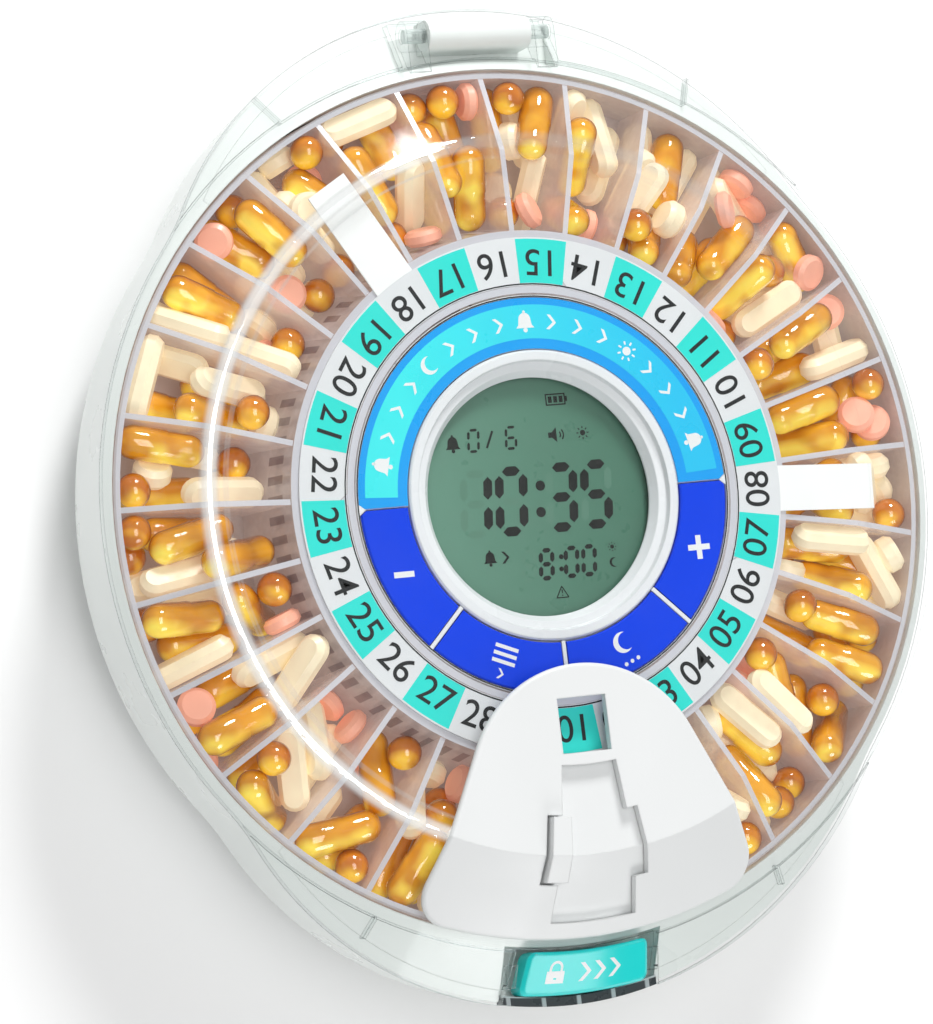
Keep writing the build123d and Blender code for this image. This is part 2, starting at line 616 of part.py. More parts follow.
def module_housing():
    tower_in = TOWER_RADIUS - TOWER_WALL
    deck_low = DECK_TOP - DECK_THICKNESS
    housing = turned([(tower_in, CHASSIS_TOP), (TOWER_RADIUS, CHASSIS_TOP), (TOWER_RADIUS, deck_low),
                      (MODULE_RADIUS, deck_low + 0.8), (MODULE_RADIUS, RING_TOP),
                      (MODULE_RADIUS - MODULE_RIM, RING_TOP), (MODULE_RADIUS - MODULE_RIM, DECK_TOP),
                      (BEZEL_HOLE, DECK_TOP), (BEZEL_HOLE, deck_low), (tower_in, deck_low)])
    banner_top = RING_TOP - 0.1 - BANNER_THICKNESS
    housing += turned([(KEY_INNER, deck_low + 0.5), (MODULE_RADIUS - 0.2, deck_low + 0.5),
                       (MODULE_RADIUS - 0.2, banner_top), (KEY_INNER, banner_top)], 0, 180)
    housing += key_ribs(KEY_RIB, DECK_TOP - 0.5, RING_TOP)
    housing += module_lugs()
    for x, y in module_screw_places():
        boss = disc(SCREW_BOSS_RADIUS, CHASSIS_TOP, CHASSIS_TOP + 10, x, y)
        housing += boss & disc(TOWER_RADIUS - 0.5, 0, TALL)
        housing -= disc(SCREW_RADIUS, 0, CHASSIS_TOP + 8, x, y)
    for angle in (30, 150, 270):
        x, y = polar(BOARD_RADIUS - 3.5, angle)
        housing += disc(2.2, BOARD_TOP, deck_low + 0.5, x, y)
    pinion_room = PINION_PITCH + DRIVE_MODULE + 0.6
    housing -= disc(pinion_room, CHASSIS_TOP, FLOOR_TOP + RING_GEAR_HEIGHT + 0.8, 0, DRIVE_Y)
    for start in KEY_STARTS.values():
        x, y = polar(SWITCH_RING, start + KEY_SWEEP / 2)
        housing -= disc(KEY_STEM_RADIUS + 0.15, deck_low - 1, DECK_TOP + 1, x, y)
    return housing


def banner_label():
    top = RING_TOP - 0.1
    inner, outer = KEY_INNER + 0.1, MODULE_RADIUS - MODULE_RIM - 0.1
    low = top - BANNER_THICKNESS
    label = turned([(inner, low), (outer, low), (outer, top), (inner, top)], 0.3, 179.4)
    return label - module_lugs(TALL, 0.1)


def key_cap(start):
    """One blue key: a quarter of the lower half ring, with a stem over its switch."""
    inner = KEY_INNER + KEY_GAP
    outer = MODULE_RADIUS - MODULE_RIM - KEY_GAP
    low = KEY_TOP - KEY_THICKNESS
    cap = turned([(inner, low), (outer, low), (outer, KEY_TOP - KEY_EDGE), (outer - KEY_EDGE, KEY_TOP),
                  (inner + KEY_EDGE, KEY_TOP), (inner, KEY_TOP - KEY_EDGE)], start, KEY_SWEEP)
    cap -= key_ribs(KEY_RIB + 2 * KEY_GAP, 0, TALL)
    cap -= block(-FAR, FAR, -KEY_GAP, FAR, 0, TALL)
    cap -= module_lugs(TALL, KEY_GAP)
    x, y = polar(SWITCH_RING, start + KEY_SWEEP / 2)
    return cap + disc(KEY_STEM_RADIUS, DECK_TOP - DECK_THICKNESS, low + 0.5, x, y)


def display_bezel():
    outer = KEY_INNER - 0.2
    skirt = BEZEL_HOLE - 0.1
    mouth = SCREEN_RADIUS + 0.2
    seat = LENS_RADIUS + 0.1
    return turned([(outer, DECK_TOP), (outer, BEZEL_TOP - 0.4), (outer - 0.4, BEZEL_TOP),
                   (BEZEL_FLAT, BEZEL_TOP), (BEZEL_FLAT - 0.3, BEZEL_TOP - 1.2),
                   (BEZEL_STEP, BEZEL_TOP - 1.6), (mouth, LENS_TOP + 0.5), (mouth, LENS_TOP),
                   (seat, LENS_TOP), (seat, BOARD_TOP), (skirt, BOARD_TOP), (skirt, DECK_TOP)])


def display_lens():
    return disc(LENS_RADIUS, LENS_TOP - LENS_THICKNESS, LENS_TOP)


def lcd_panel():
    return disc(LENS_RADIUS - SIDE_GAP, BOARD_TOP + 0.4, BOARD_TOP + 0.4 + PANEL_THICKNESS)


def key_switches():
    switches = []
    for start in KEY_STARTS.values():
        body = block(-3, 3, -3, 3, BOARD_TOP, BOARD_TOP + 2.4)
        plunger = disc(1.6, BOARD_TOP + 2.4, DECK_TOP - DECK_THICKNESS - KEY_TRAVEL - 0.1)
        switches.append(Rot(0, 0, start + KEY_SWEEP / 2) * Pos(SWITCH_RING, 0, 0) * (body + plunger))
    return pieces(switches)


def main_board():
    under = BOARD_TOP - BOARD_THICKNESS
    board = disc(BOARD_RADIUS, under, BOARD_TOP)
    for angle in (45, 135, 225, 315):
        board -= disc(2.0, 0, TALL, *polar(BOARD_RADIUS, angle))
    controller = block(-9, -1, -18, -10, under - 1.4, under)
    driver = block(5, 14, -19, -14, under - 1.2, under)
    return board + controller + driver


def buzzer():
    top = BOARD_TOP - BOARD_THICKNESS
    return disc(6, top - 6, top, -20, -4) - disc(1, top - 7, top - 4, -20, -4)


def drive_motor():
    top = CHASSIS_TOP + MOTOR_HEIGHT
    can = disc(MOTOR_RADIUS, CHASSIS_TOP, top, 0, MOTOR_Y)
    can = chamfer(can.edges().group_by(Axis.Z)[-1], 1.0)
    return can + disc(3.0, top, top + 0.4, 0, MOTOR_Y)


def shaft_bush():
    bush = disc(BUSH_RADIUS + 1.5, CHASSIS_TOP, CHASSIS_TOP + 1, 0, DRIVE_Y)
    bush += disc(BUSH_RADIUS, CHASSIS_BOTTOM - 1, CHASSIS_TOP, 0, DRIVE_Y)
    return bush - disc(SHAFT_RADIUS + RUNNING_GAP, 0, TALL, 0, DRIVE_Y)


def sensor_block(grow=0.0):
    """The sensor sits in a slot of the chassis plate, under the carousel's floor."""
    centre = -(HUB_FOOT_RADIUS + 0.5)
    return block(centre - 4 - grow, centre + 4 + grow, -3 - grow, 3 + grow, CHASSIS_BOTTOM - 3,
                 CHASSIS_TOP - 0.2 + grow)


def hinge_cover():
    """Clear flange piece behind the hinge, between the two seams."""
    gap = math.degrees(SIDE_GAP / SIDE_RADIUS)
    zone = wedge(SIDE_RADIUS + SIDE_GAP, FAR, 180 - HINGE_COVER_HALF_ANGLE + gap,
                 180 + HINGE_COVER_HALF_ANGLE - gap)
    room = block(-HINGE_POCKET_HALF, HINGE_POCKET_HALF, 0, HINGE_POCKET_BACK, 0, TALL)
    return (lid_shell() & zone) - room


def hinge_pin():
    return rod(PIN_RADIUS, EAR_OUTER - 0.4, HINGE_Y, HINGE_Z)


def latch_springs():
    coils = []
    for side in (-1, 1):
        coil = disc(SPRING_RADIUS, LATCH_FLOOR, SPRING_TOP, side * SPRING_X, SPRING_Y)
        coils.append(coil - disc(SPRING_RADIUS - SPRING_WIRE, 0, TALL, side * SPRING_X, SPRING_Y))
    return pieces(coils)


def latch_trim():
    """Dark ribbed strip in the front wall, under the latch button."""
    half = LATCH_POCKET_HALF - 0.2
    strip = block(-half, half, -FAR, -SIDE_RADIUS, TRIM_BOTTOM, TRIM_TOP)
    strip &= case_column(0.2, 0, TALL) - case_column(0.2 + TRIM_THICKNESS, 0, TALL)
    pitch = 2 * (half - 0.8) / TRIM_RIBS
    back = -NOSE_REACH + 1.2
    for slot in range(TRIM_RIBS):
        x = (slot - (TRIM_RIBS - 1) / 2) * pitch
        strip -= block(x - 0.3 * pitch, x + 0.3 * pitch, -FAR, back, TRIM_BOTTOM + 0.8, TRIM_TOP - 0.8)
    return strip


# ---------------------------------------------------------------- carousel body
def tray_floor():
    return tube(FLOOR_BORE, TRAY_RADIUS, TRAY_BOTTOM, FLOOR_TOP)


def tray_outer_wall():
    inner = TRAY_RADIUS - TRAY_WALL
    return turned([(inner, FLOOR_TOP), (TRAY_RADIUS, FLOOR_TOP), (TRAY_RADIUS, TRAY_RIM - 0.4),
                   (TRAY_RADIUS - 0.4, TRAY_RIM), (inner, TRAY_RIM)])


def tray_hub():
    """The inner wall leans out to the floor; its ledge carries the number ring."""
    rim = TRAY_BORE + HUB_RIM_WIDTH
    top = RING_TOP + HUB_RIM_PROUD
    hub = turned([(TRAY_BORE, LEDGE_TOP - TRAY_WALL), (TRAY_BORE, top), (rim, top),
                  (rim, LEDGE_TOP), (HUB_TOP_RADIUS, LEDGE_TOP), (HUB_FOOT_RADIUS, FLOOR_TOP),
                  (HUB_FOOT_RADIUS - TRAY_WALL, FLOOR_TOP),
                  (HUB_TOP_RADIUS - TRAY_WALL, LEDGE_TOP - TRAY_WALL)])
    for angle in KEY_NOTCHES:
        hub += v_lug(rim, angle, 1.5, 1.3, LEDGE_TOP - 0.5, RING_TOP)
    return hub


def tray_dividers():
    inner_reach = HUB_TOP_RADIUS + HUB_FLARE * (LEDGE_TOP - DIVIDER_TOP) / (LEDGE_TOP - FLOOR_TOP)
    outer_reach = TRAY_RADIUS - TRAY_WALL
    room = turned([(inner_reach, DIVIDER_TOP), (DIVIDER_BEND, DIVIDER_TOP), (outer_reach, TRAY_RIM - 0.2),
                   (outer_reach, FLOOR_TOP), (HUB_FOOT_RADIUS, FLOOR_TOP)], -10, 20)
    divider = room & block(0, TRAY_RADIUS, -DIVIDER_THICKNESS / 2, DIVIDER_THICKNESS / 2, 0, TALL)
    places = [FRONT + (place + 0.5) * STEP_ANGLE for place in range(PLACES)]
    return pieces([Rot(0, 0, angle) * divider for angle in places])


def ring_gear():
    """Internal gear under the hub: its tooth spaces are a row of outward teeth cut from a ring."""
    tip = RING_PITCH - RING_ADDENDUM * DRIVE_MODULE
    root = RING_PITCH + DEDENDUM * DRIVE_MODULE
    spaces = tooth_row(RING_TEETH, DRIVE_MODULE, root, tip, -TOOTH_PLAY, 1, BACK)
    ring = extrude(Circle(RING_GEAR_OUTER) - make_face(Polyline(*spaces, close=True)), RING_GEAR_HEIGHT)
    return Pos(0, 0, FLOOR_TOP) * ring


def number_ring():
    card = tube(CARD_INNER, CARD_OUTER, LEDGE_TOP, RING_TOP)
    for angle in KEY_NOTCHES:
        card -= v_lug(TRAY_BORE + HUB_RIM_WIDTH, angle, 1.5, 1.3, LEDGE_TOP - 1, TALL, CARD_GAP)
    return card


def label_strips():
    strips = []
    for number, reach in STRIP_ENDS:
        half = STRIP_WIDTH / 2
        strip = block(0, reach, -half, half, LEDGE_TOP, LEDGE_TOP + STRIP_THICKNESS)
        strip -= disc(CARD_OUTER, 0, TALL)
        strips.append(Rot(0, 0, FRONT + (number - 1) * STEP_ANGLE) * strip)
    return pieces(strips)


# ---------------------------------------------------------------- gear train
def drive_pinion():
    return spur_gear(PINION_TEETH, DRIVE_MODULE, 1.0, DRIVE_Y, FLOOR_TOP + 0.2,
                     FLOOR_TOP + RING_GEAR_HEIGHT - 0.2, SHAFT_RADIUS, BACK)


def reduction_gear():
    gear = spur_gear(WHEEL_TEETH, TRAIN_MODULE, WHEEL_ADDENDUM, DRIVE_Y, WHEEL_BOTTOM,
                     WHEEL_BOTTOM + WHEEL_THICKNESS, SHAFT_RADIUS, FRONT, 2)
    gear += disc(SHAFT_RADIUS + 2.5, WHEEL_BOTTOM - 2.5, WHEEL_BOTTOM, 0, DRIVE_Y)
    gear -= disc(SHAFT_RADIUS, 0, TALL, 0, DRIVE_Y)
    for angle in range(0, 360, 60):
        x, y = polar(9.5, angle)
        gear -= disc(3.2, WHEEL_BOTTOM - 1, TALL, x, y + DRIVE_Y)
    return gear


def drive_shaft():
    return disc(SHAFT_RADIUS, COVER_INNER_Z + 1.2, FLOOR_TOP + RING_GEAR_HEIGHT + 0.4, 0, DRIVE_Y)


def motor_gear():
    gear = spur_gear(MOTOR_TEETH, TRAIN_MODULE, 1.0, MOTOR_Y, WHEEL_BOTTOM - 0.3,
                     WHEEL_BOTTOM + WHEEL_THICKNESS + 0.3, MOTOR_SHAFT_RADIUS, BACK + 180 / MOTOR_TEETH)
    return gear + disc(MOTOR_SHAFT_RADIUS, WHEEL_BOTTOM - 0.3, CHASSIS_TOP - 0.1, 0, MOTOR_Y)


# ---------------------------------------------------------------- lid body
def lid_shell():
    """The clear dome: flat top, conical band, sloped flange, one wall thickness all over."""
    bend = math.atan(SHOULDER_DROP / CONE_WIDTH)
    slope = math.atan(FLANGE_SLOPE)
    turn = (bend + slope) / 2
    inner_flat = LID_FLAT_RADIUS - LID_WALL * math.tan(bend / 2)
    inner_shoulder = (SHOULDER_RADIUS - LID_WALL * math.sin(turn),
                      LID_TOP - SHOULDER_DROP - LID_WALL * math.cos(turn))
    inner_far = (FAR, inner_shoulder[1] - FLANGE_SLOPE * (FAR - inner_shoulder[0]))
    lid = turned([(0, LID_TOP), (LID_FLAT_RADIUS, LID_TOP), (SHOULDER_RADIUS, LID_TOP - SHOULDER_DROP),
                  (FAR, lid_height(FAR)), inner_far, inner_shoulder, (inner_flat, LID_TOP - LID_WALL),
                  (0, LID_TOP - LID_WALL)])
    rims = lid.edges().filter_by(GeomType.CIRCLE)
    flat_edge = [rim for rim in rims if abs(rim.center().Z - LID_TOP) < 0.01]
    return fillet(flat_edge, CREASE_ROUND) & case_column(0, 0, TALL)


def lid_ear(side):
    """An arm from the lid to the hinge pin, with its own barrel."""
    inner, outer = sorted((side * EAR_INNER, side * EAR_OUTER))
    root = SIDE_RADIUS - 3.0
    arm = make_face(Polyline((0, HINGE_Y, HINGE_Z + KNUCKLE_RADIUS),
                             (0, HINGE_Y, HINGE_Z - KNUCKLE_RADIUS + 1),
                             (0, HINGE_Y - 3.6, HINGE_Z - 1), (0, root, lid_height(root) - 1.6),
                             (0, root, lid_height(root) - 0.2), close=True))
    ear = Pos(inner, 0, 0) * extrude(arm, outer - inner, dir=(1, 0, 0))
    ear += rod(KNUCKLE_RADIUS, (outer - inner) / 2, HINGE_Y, HINGE_Z, (inner + outer) / 2)
    return ear - rod(PIN_RADIUS + RUNNING_GAP, EAR_OUTER + 1, HINGE_Y, HINGE_Z)


def lid_hook(side):
    """A tab that drops from the flange beside the button into the latch pocket."""
    inner, outer = sorted((side * HOOK_INNER, side * HOOK_OUTER))
    hook = block(inner, outer, HOOK_FRONT, HOOK_BACK, SPRING_TOP, LID_TOP - SHOULDER_DROP)
    return hook & lid_layer(SHOULDER_RADIUS, FAR, -0.2, -TALL / 2)


def cover_plan(inset, outer):
    """The sector cover's outline: an arch towards the display, radial sides, a round outer edge."""
    half = math.radians(COVER_HALF_ANGLE)
    touch = COVER_ARCH_CENTRE * math.cos(half)
    sides = []
    for hand in (-1, 1):
        along = (hand * math.sin(half), -math.cos(half))
        across = (-hand * math.cos(half), -math.sin(half))
        sides.append([(along[0] * reach + across[0] * inset, along[1] * reach + across[1] * inset)
                      for reach in (touch, FAR)])
    body = make_face(Polyline(sides[0][0], sides[0][1], sides[1][1], sides[1][0], close=True))
    body += Pos(0, -COVER_ARCH_CENTRE) * Circle(COVER_ARCH_CENTRE * math.sin(half) - inset)
    body &= Circle(outer)
    corners = [v for v in body.vertices() if math.hypot(v.X, v.Y) > outer - 1]
    return fillet(corners, COVER_CORNER - inset)


def cover_column(inset, outer):
    return extrude(cover_plan(inset, outer), TALL)


def seam_slit(side):
    """A short slit through the flange, where the front nose meets the round rim."""
    half = math.degrees(SLIT_WIDTH / (2 * SLIT_OUTER))
    return wedge(GROOVE_RADIUS, SLIT_OUTER, side * SLIT_ANGLE - half, side * SLIT_ANGLE + half)


def lid_moulding():
    lid = lid_shell()
    lid -= wedge(SIDE_RADIUS, FAR, 180 - HINGE_COVER_HALF_ANGLE, 180 + HINGE_COVER_HALF_ANGLE)
    lid -= wedge(SIDE_RADIUS, FAR, -LATCH_HALF_ANGLE, LATCH_HALF_ANGLE)
    lid -= cover_column(COVER_LEDGE, CUTOUT_OUTER)
    lid -= lid_layer(GROOVE_RADIUS, GROOVE_RADIUS + GROOVE_WIDTH, 1.0, -GROOVE_DEPTH)
    for side in (-1, 1):
        lid -= seam_slit(side)
        lid += lid_ear(side)
        lid += lid_hook(side)
    return lid


def track_opening():
    """The dispensing hatch with the slot that the door's grip slides in."""
    opening = wedge(HATCH_INNER, HATCH_OUTER, -HATCH_HALF_ANGLE, HATCH_HALF_ANGLE)
    return opening + wedge(TRACK_INNER, TRACK_OUTER, TRACK_LEFT, TRACK_RIGHT)


def cover_rim(plate):
    """The cover's upper outline, without the crease that runs across its face."""
    rim = []
    for edge in plate.edges():
        heights = [corner.Z - lid_height(math.hypot(corner.X, corner.Y)) for corner in edge.vertices()]
        on_face = min(heights) > COVER_PROUD - 0.01
        middle = edge.center()
        on_crease = abs(math.hypot(middle.X, middle.Y) - LID_FLAT_RADIUS) < 0.1
        if on_face and not on_crease:
            rim.append(edge)
    return rim


def sector_cover():
    plate = lid_layer(COVER_LEDGE, COVER_OUTER, COVER_PROUD, 0) & cover_column(0, COVER_OUTER)
    plate = fillet(cover_rim(plate), COVER_EDGE)
    plug = lid_layer(COVER_LEDGE, CUTOUT_OUTER, 0.0, -PLUG_DEPTH)
    plug &= cover_column(COVER_LEDGE + PLUG_GAP, CUTOUT_OUTER - PLUG_GAP)
    window = block(-WINDOW_HALF_WIDTH, WINDOW_HALF_WIDTH, -WINDOW_OUTER, -WINDOW_INNER, 0, TALL)
    return plate + plug - window - track_opening()


def door_guides():
    """Two arc rails under the cover that carry the slide door's inner and outer edges."""
    low = -PLUG_DEPTH - 2 * SIDE_GAP - DOOR_THICKNESS
    first = FRONT + DOOR_LEFT - 1.5
    sweep = DOOR_RIGHT + DOOR_TRAVEL - DOOR_LEFT + 1.7
    door_inner, door_outer = HATCH_INNER - DOOR_OVERLAP, HATCH_OUTER + DOOR_OVERLAP - 0.2
    inner_wall = (door_inner - SIDE_GAP - GUIDE_WALL, door_inner - SIDE_GAP)
    outer_wall = (door_outer + SIDE_GAP, door_outer + SIDE_GAP + GUIDE_WALL)
    lips = ((inner_wall[0], HATCH_INNER - 0.2), (HATCH_OUTER + 0.2, outer_wall[1]))
    rails = []
    for wall, lip in zip((inner_wall, outer_wall), lips):
        rail = lid_layer(wall[0], wall[1], -PLUG_DEPTH, low - GUIDE_LIP, first, sweep)
        rails.append(rail + lid_layer(lip[0], lip[1], low, low - GUIDE_LIP, first, sweep))
    return pieces(rails)


def slide_door():
    top = -PLUG_DEPTH - SIDE_GAP
    door = lid_layer(HATCH_INNER - DOOR_OVERLAP, HATCH_OUTER + DOOR_OVERLAP - 0.2, top,
                     top - DOOR_THICKNESS, FRONT + DOOR_LEFT, DOOR_RIGHT - DOOR_LEFT)
    half = math.degrees(GRIP_WIDTH / (TRACK_INNER + TRACK_OUTER))
    grip = lid_layer(TRACK_INNER + 0.4, TRACK_OUTER - 0.4, COVER_PROUD + GRIP_PROUD, top - 0.5,
                     FRONT + GRIP_ANGLE - half, 2 * half)
    return door + grip


# ---------------------------------------------------------------- latch body
def latch_button():
    button = lid_layer(BUTTON_INNER, BUTTON_OUTER, BUTTON_PROUD, -BUTTON_DEPTH,
                       FRONT - BUTTON_HALF_ANGLE, 2 * BUTTON_HALF_ANGLE)
    corners = [e for e in button.edges() if e.geom_type == GeomType.LINE and abs(e.tangent_at(0.5).Z) > 0.9]
    button = fillet(corners, BUTTON_CORNER)
    middles = [(edge, edge.center()) for edge in button.edges()]
    top_edges = [edge for edge, at in middles if at.Z > lid_height(math.hypot(at.X, at.Y))]
    button = chamfer(top_edges, BUTTON_EDGE)
    for side in (-1, 1):
        button += disc(SPRING_RADIUS + 0.6, SPRING_TOP, SPRING_TOP + 3, side * SPRING_X, SPRING_Y)
    return button


# ---------------------------------------------------------------- write the pieces
def all_pieces():
    makers = [base_shell, latch_deck, hinge_deck, chassis_plate, chassis_screws, bottom_cover, cover_screws,
              rubber_feet, battery_box, batteries, battery_contacts, battery_door, module_housing,
              module_screws, banner_label, display_bezel, display_lens, lcd_panel, main_board, key_switches,
              buzzer, drive_motor, shaft_bush, hinge_cover, hinge_pin, latch_trim, latch_springs, tray_floor,
              tray_outer_wall, tray_hub, tray_dividers, ring_gear, number_ring, label_strips, drive_pinion,
              reduction_gear, drive_shaft, motor_gear, sector_cover, door_guides, slide_door, latch_button]
    named = {maker.__name__: maker() for maker in makers}
    named["index_sensor"] = sensor_block()
    named["lid"] = lid_moulding()
    for name, start in KEY_STARTS.items():
        named[name] = key_cap(start)
    return named


os.makedirs("parts", exist_ok=True)
for piece_name, piece in all_pieces().items():
    export_step(piece, f"parts/{piece_name}.step")
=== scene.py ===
import json
import math
import random
import bmesh
import bpy
from mathutils import Euler, Matrix, Vector


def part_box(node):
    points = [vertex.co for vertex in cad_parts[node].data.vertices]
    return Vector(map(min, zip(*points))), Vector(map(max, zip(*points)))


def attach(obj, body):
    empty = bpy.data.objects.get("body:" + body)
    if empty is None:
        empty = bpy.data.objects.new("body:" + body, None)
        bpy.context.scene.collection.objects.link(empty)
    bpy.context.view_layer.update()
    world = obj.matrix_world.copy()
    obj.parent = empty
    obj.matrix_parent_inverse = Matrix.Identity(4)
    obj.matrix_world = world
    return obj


# The looks of an automatic pill dispenser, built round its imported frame.
# The frame is in metres. Sizes below are in millimetres and go through MM.

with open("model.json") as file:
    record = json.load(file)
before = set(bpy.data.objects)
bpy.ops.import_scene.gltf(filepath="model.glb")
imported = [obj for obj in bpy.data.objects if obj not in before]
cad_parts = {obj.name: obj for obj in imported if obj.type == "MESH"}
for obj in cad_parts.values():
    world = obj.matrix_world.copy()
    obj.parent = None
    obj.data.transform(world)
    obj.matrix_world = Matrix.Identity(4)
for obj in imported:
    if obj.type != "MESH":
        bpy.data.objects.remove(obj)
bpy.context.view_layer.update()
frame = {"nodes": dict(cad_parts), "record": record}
nodes = frame["nodes"]
MM = 0.001

# ---- places in millimetres, some taken from the frame ----


def node_top(name):
    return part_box(name)[1].z / MM


def node_reach(name):
    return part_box(name)[1].x / MM


def node_front(name):
    return -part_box(name)[0].y / MM


PLACES = 29                         # 28 numbered compartments and the home place
STEP = 2 * math.pi / PLACES
FRONT = -math.pi / 2                # direction of the latch
FLOOR_TOP = node_top("tray_floor")
RING_TOP = node_top("number_ring")
RING_OUTER = node_reach("number_ring")
RING_INNER = 45.5
KEY_TOP = node_top("minus_key")
BANNER_TOP = node_top("banner_label")
PANEL_TOP = node_top("lcd_panel")
RIM_TOP = 47.0                      # rim of the module round the keys
TRAY_WALL_INNER = node_reach("tray_outer_wall") - 1.4
HUB_FOOT = 61.5                     # the hub's wall where it meets the tray's floor
HUB_TOP = 57.6
DIVIDER_THICKNESS = 1.2
LID_TOP = 51.5
LID_FLAT_RADIUS = 77.5
LID_SHOULDER_RADIUS = 95.0
LID_SHOULDER_HEIGHT = 42.0
LID_SLOPE = 0.62                    # drop of the lid's flange per millimetre outwards
BUTTON_PROUD = 1.3
BUTTON_MIDDLE = 102.2               # radius of the middle of the latch button
RING_TEETH = 3 * PLACES
MARK_LIFT = 0.03                    # thickness of print
MARK_SINK = 0.02                    # print reaches this far into its ground
DIGIT_HEIGHT = 6.0                  # numbers of the ring
BANNER_BAND = (33.9, 41.3)          # radii of the banner's bright band
KEY_MIDDLE = 37.4                   # radius of the middle of the keys
MODULE_LINE = (42.95, 43.25)        # radii of the thin line round the module
CLIP_PITCH = 8.2                    # between the pale clips under the latch button
FRONT_STRIP = 2.0                   # depth of the strip of painted shade in the slot under the latch button
GLOW_SIDE = (-0.40, -0.74, 0.54)    # side of the painted glow in oil-filled pills, standing in for light focused through the oil


# ---------------------------------------- materials
def linear(value):
    return value / 12.92 if value <= 0.04045 else ((value + 0.055) / 1.055) ** 2.4


def colour(red, green, blue):
    """A colour as seen, 0 to 255, as the shader wants it."""
    return tuple(linear(value / 255) for value in (red, green, blue)) + (1.0,)


BLACK = (0.0, 0.0, 0.0, 1.0)
WHITE_LIGHT = (1.0, 1.0, 1.0, 1.0)


class Look:
    """One material: a Principled shader with its patterns in object space, in metres."""

    def __init__(self, name, base, roughness):
        self.name = name
        self.material = bpy.data.materials.new(name)
        self.material.use_nodes = True
        self.tree = self.material.node_tree
        self.shader = self.tree.nodes["Principled BSDF"]
        self.place = self.node("ShaderNodeTexCoord").outputs["Object"]
        self.bevel = None
        self.shader.inputs["Base Color"].default_value = base
        self.shader.inputs["Roughness"].default_value = roughness

    def node(self, kind, **settings):
        made = self.tree.nodes.new(kind)
        for key, value in settings.items():
            setattr(made, key, value)
        return made

    def link(self, source, target):
        self.tree.links.new(source, target)

    def set(self, **values):
        for name, value in values.items():
            self.shader.inputs[name.replace("_", " ")].default_value = value
        return self

    def stretched(self, x=1.0, y=1.0, z=1.0):
        mapping = self.node("ShaderNodeMapping")
        mapping.inputs["Scale"].default_value = (x, y, z)
        self.link(self.place, mapping.inputs["Vector"])
        return mapping.outputs["Vector"]

    def noise(self, size, detail=3.0, vector=None):
        """Noise whose blobs are about this size in millimetres."""
        texture = self.node("ShaderNodeTexNoise")
        texture.inputs["Scale"].default_value = 1 / (size * MM)
        texture.inputs["Detail"].default_value = detail
        self.link(vector or self.place, texture.inputs["Vector"])
        return texture.outputs["Fac"]

    def cells(self, size):
        texture = self.node("ShaderNodeTexVoronoi")
        texture.inputs["Scale"].default_value = 1 / (size * MM)
        self.link(self.place, texture.inputs["Vector"])
        return texture.outputs["Distance"]

    def span(self, value, low, high, to_low=0.0, to_high=1.0):
        limits = self.node("ShaderNodeMapRange")
        for name, number in zip(("From Min", "From Max", "To Min", "To Max"), (low, high, to_low, to_high)):
            limits.inputs[name].default_value = number
        self.link(value, limits.inputs["Value"])
        return limits.outputs["Result"]

    def math(self, operation, first, second=0.0):
        made = self.node("ShaderNodeMath", operation=operation)
        for socket, value in zip(made.inputs, (first, second)):
            if isinstance(value, (int, float)):
                socket.default_value = value
            else:
                self.link(value, socket)
        return made.outputs["Value"]

    def times(self, first, second):
        return self.math("MULTIPLY", first, second)

    def plus(self, first, second):
        return self.math("ADD", first, second)

    def blend(self, amount, first, second):
        made = self.node("ShaderNodeMix", data_type="RGBA")
        self.link(amount, made.inputs["Factor"])
        for socket, value in ((made.inputs[6], first), (made.inputs[7], second)):
            if isinstance(value, tuple):
                socket.default_value = value
            else:
                self.link(value, socket)
        return made.outputs[2]

    def paint(self, source):
        self.link(source, self.shader.inputs["Base Color"])

    def mottled(self, size, first, second, detail=3.0, vector=None):
        """Soft patches of two colours, about this size in millimetres."""
        return self.blend(self.span(self.noise(size, detail, vector), 0.35, 0.7), first, second)

    def gloss(self, source):
        self.link(source, self.shader.inputs["Roughness"])

    def patchy_gloss(self, size, low, high, detail=3.0):
        """Roughness that wanders between two values in patches of this size in millimetres."""
        self.gloss(self.span(self.noise(size, detail), 0.3, 0.7, low, high))

    # makes the surface glow in this colour; every use here is painted light, as none of these parts is a lamp
    def glow(self, source, strength):
        self.link(source, self.shader.inputs["Emission Color"])
        self.set(Emission_Strength=strength)

    def bump(self, height, depth, edge=None):
        """Bump of a depth in millimetres, over edges that look rounded where edge is set."""
        made = self.node("ShaderNodeBump")
        made.inputs["Distance"].default_value = depth * MM
        self.link(height, made.inputs["Height"])
        if edge:
            self.link(self.rounded(edge), made.inputs["Normal"])
        self.link(made.outputs["Normal"], self.shader.inputs["Normal"])

    def rounded(self, radius):
        """Normals as if the sharp edges were rounded; worked out once for each material."""
        if self.bevel is None:
            made = self.node("ShaderNodeBevel", samples=3)
            made.inputs["Radius"].default_value = radius * MM
            self.bevel = made.outputs["Normal"]
        return self.bevel

    def sharp_edges(self, radius):
        """1 along sharp edges, 0 on open faces."""
        plain = self.node("ShaderNodeNewGeometry")
        made = self.node("ShaderNodeVectorMath", operation="DOT_PRODUCT")
        self.link(self.rounded(radius), made.inputs[0])
        self.link(plain.outputs["Normal"], made.inputs[1])
        return self.span(made.outputs["Value"], 0.985, 0.80)

    def axis(self, vector, name):
        """One coordinate of a vector."""
        split = self.node("ShaderNodeSeparateXYZ")
        self.link(vector, split.inputs["Vector"])
        return split.outputs[name]

    def normal(self):
        return self.node("ShaderNodeNewGeometry").outputs["Normal"]

    def towards(self, direction):
        """1 where the surface faces a direction, 0 where it faces away."""
        made = self.node("ShaderNodeVectorMath", operation="DOT_PRODUCT")
        self.link(self.normal(), made.inputs[0])
        made.inputs[1].default_value = direction
        return self.span(made.outputs["Value"], -1.0, 1.0)

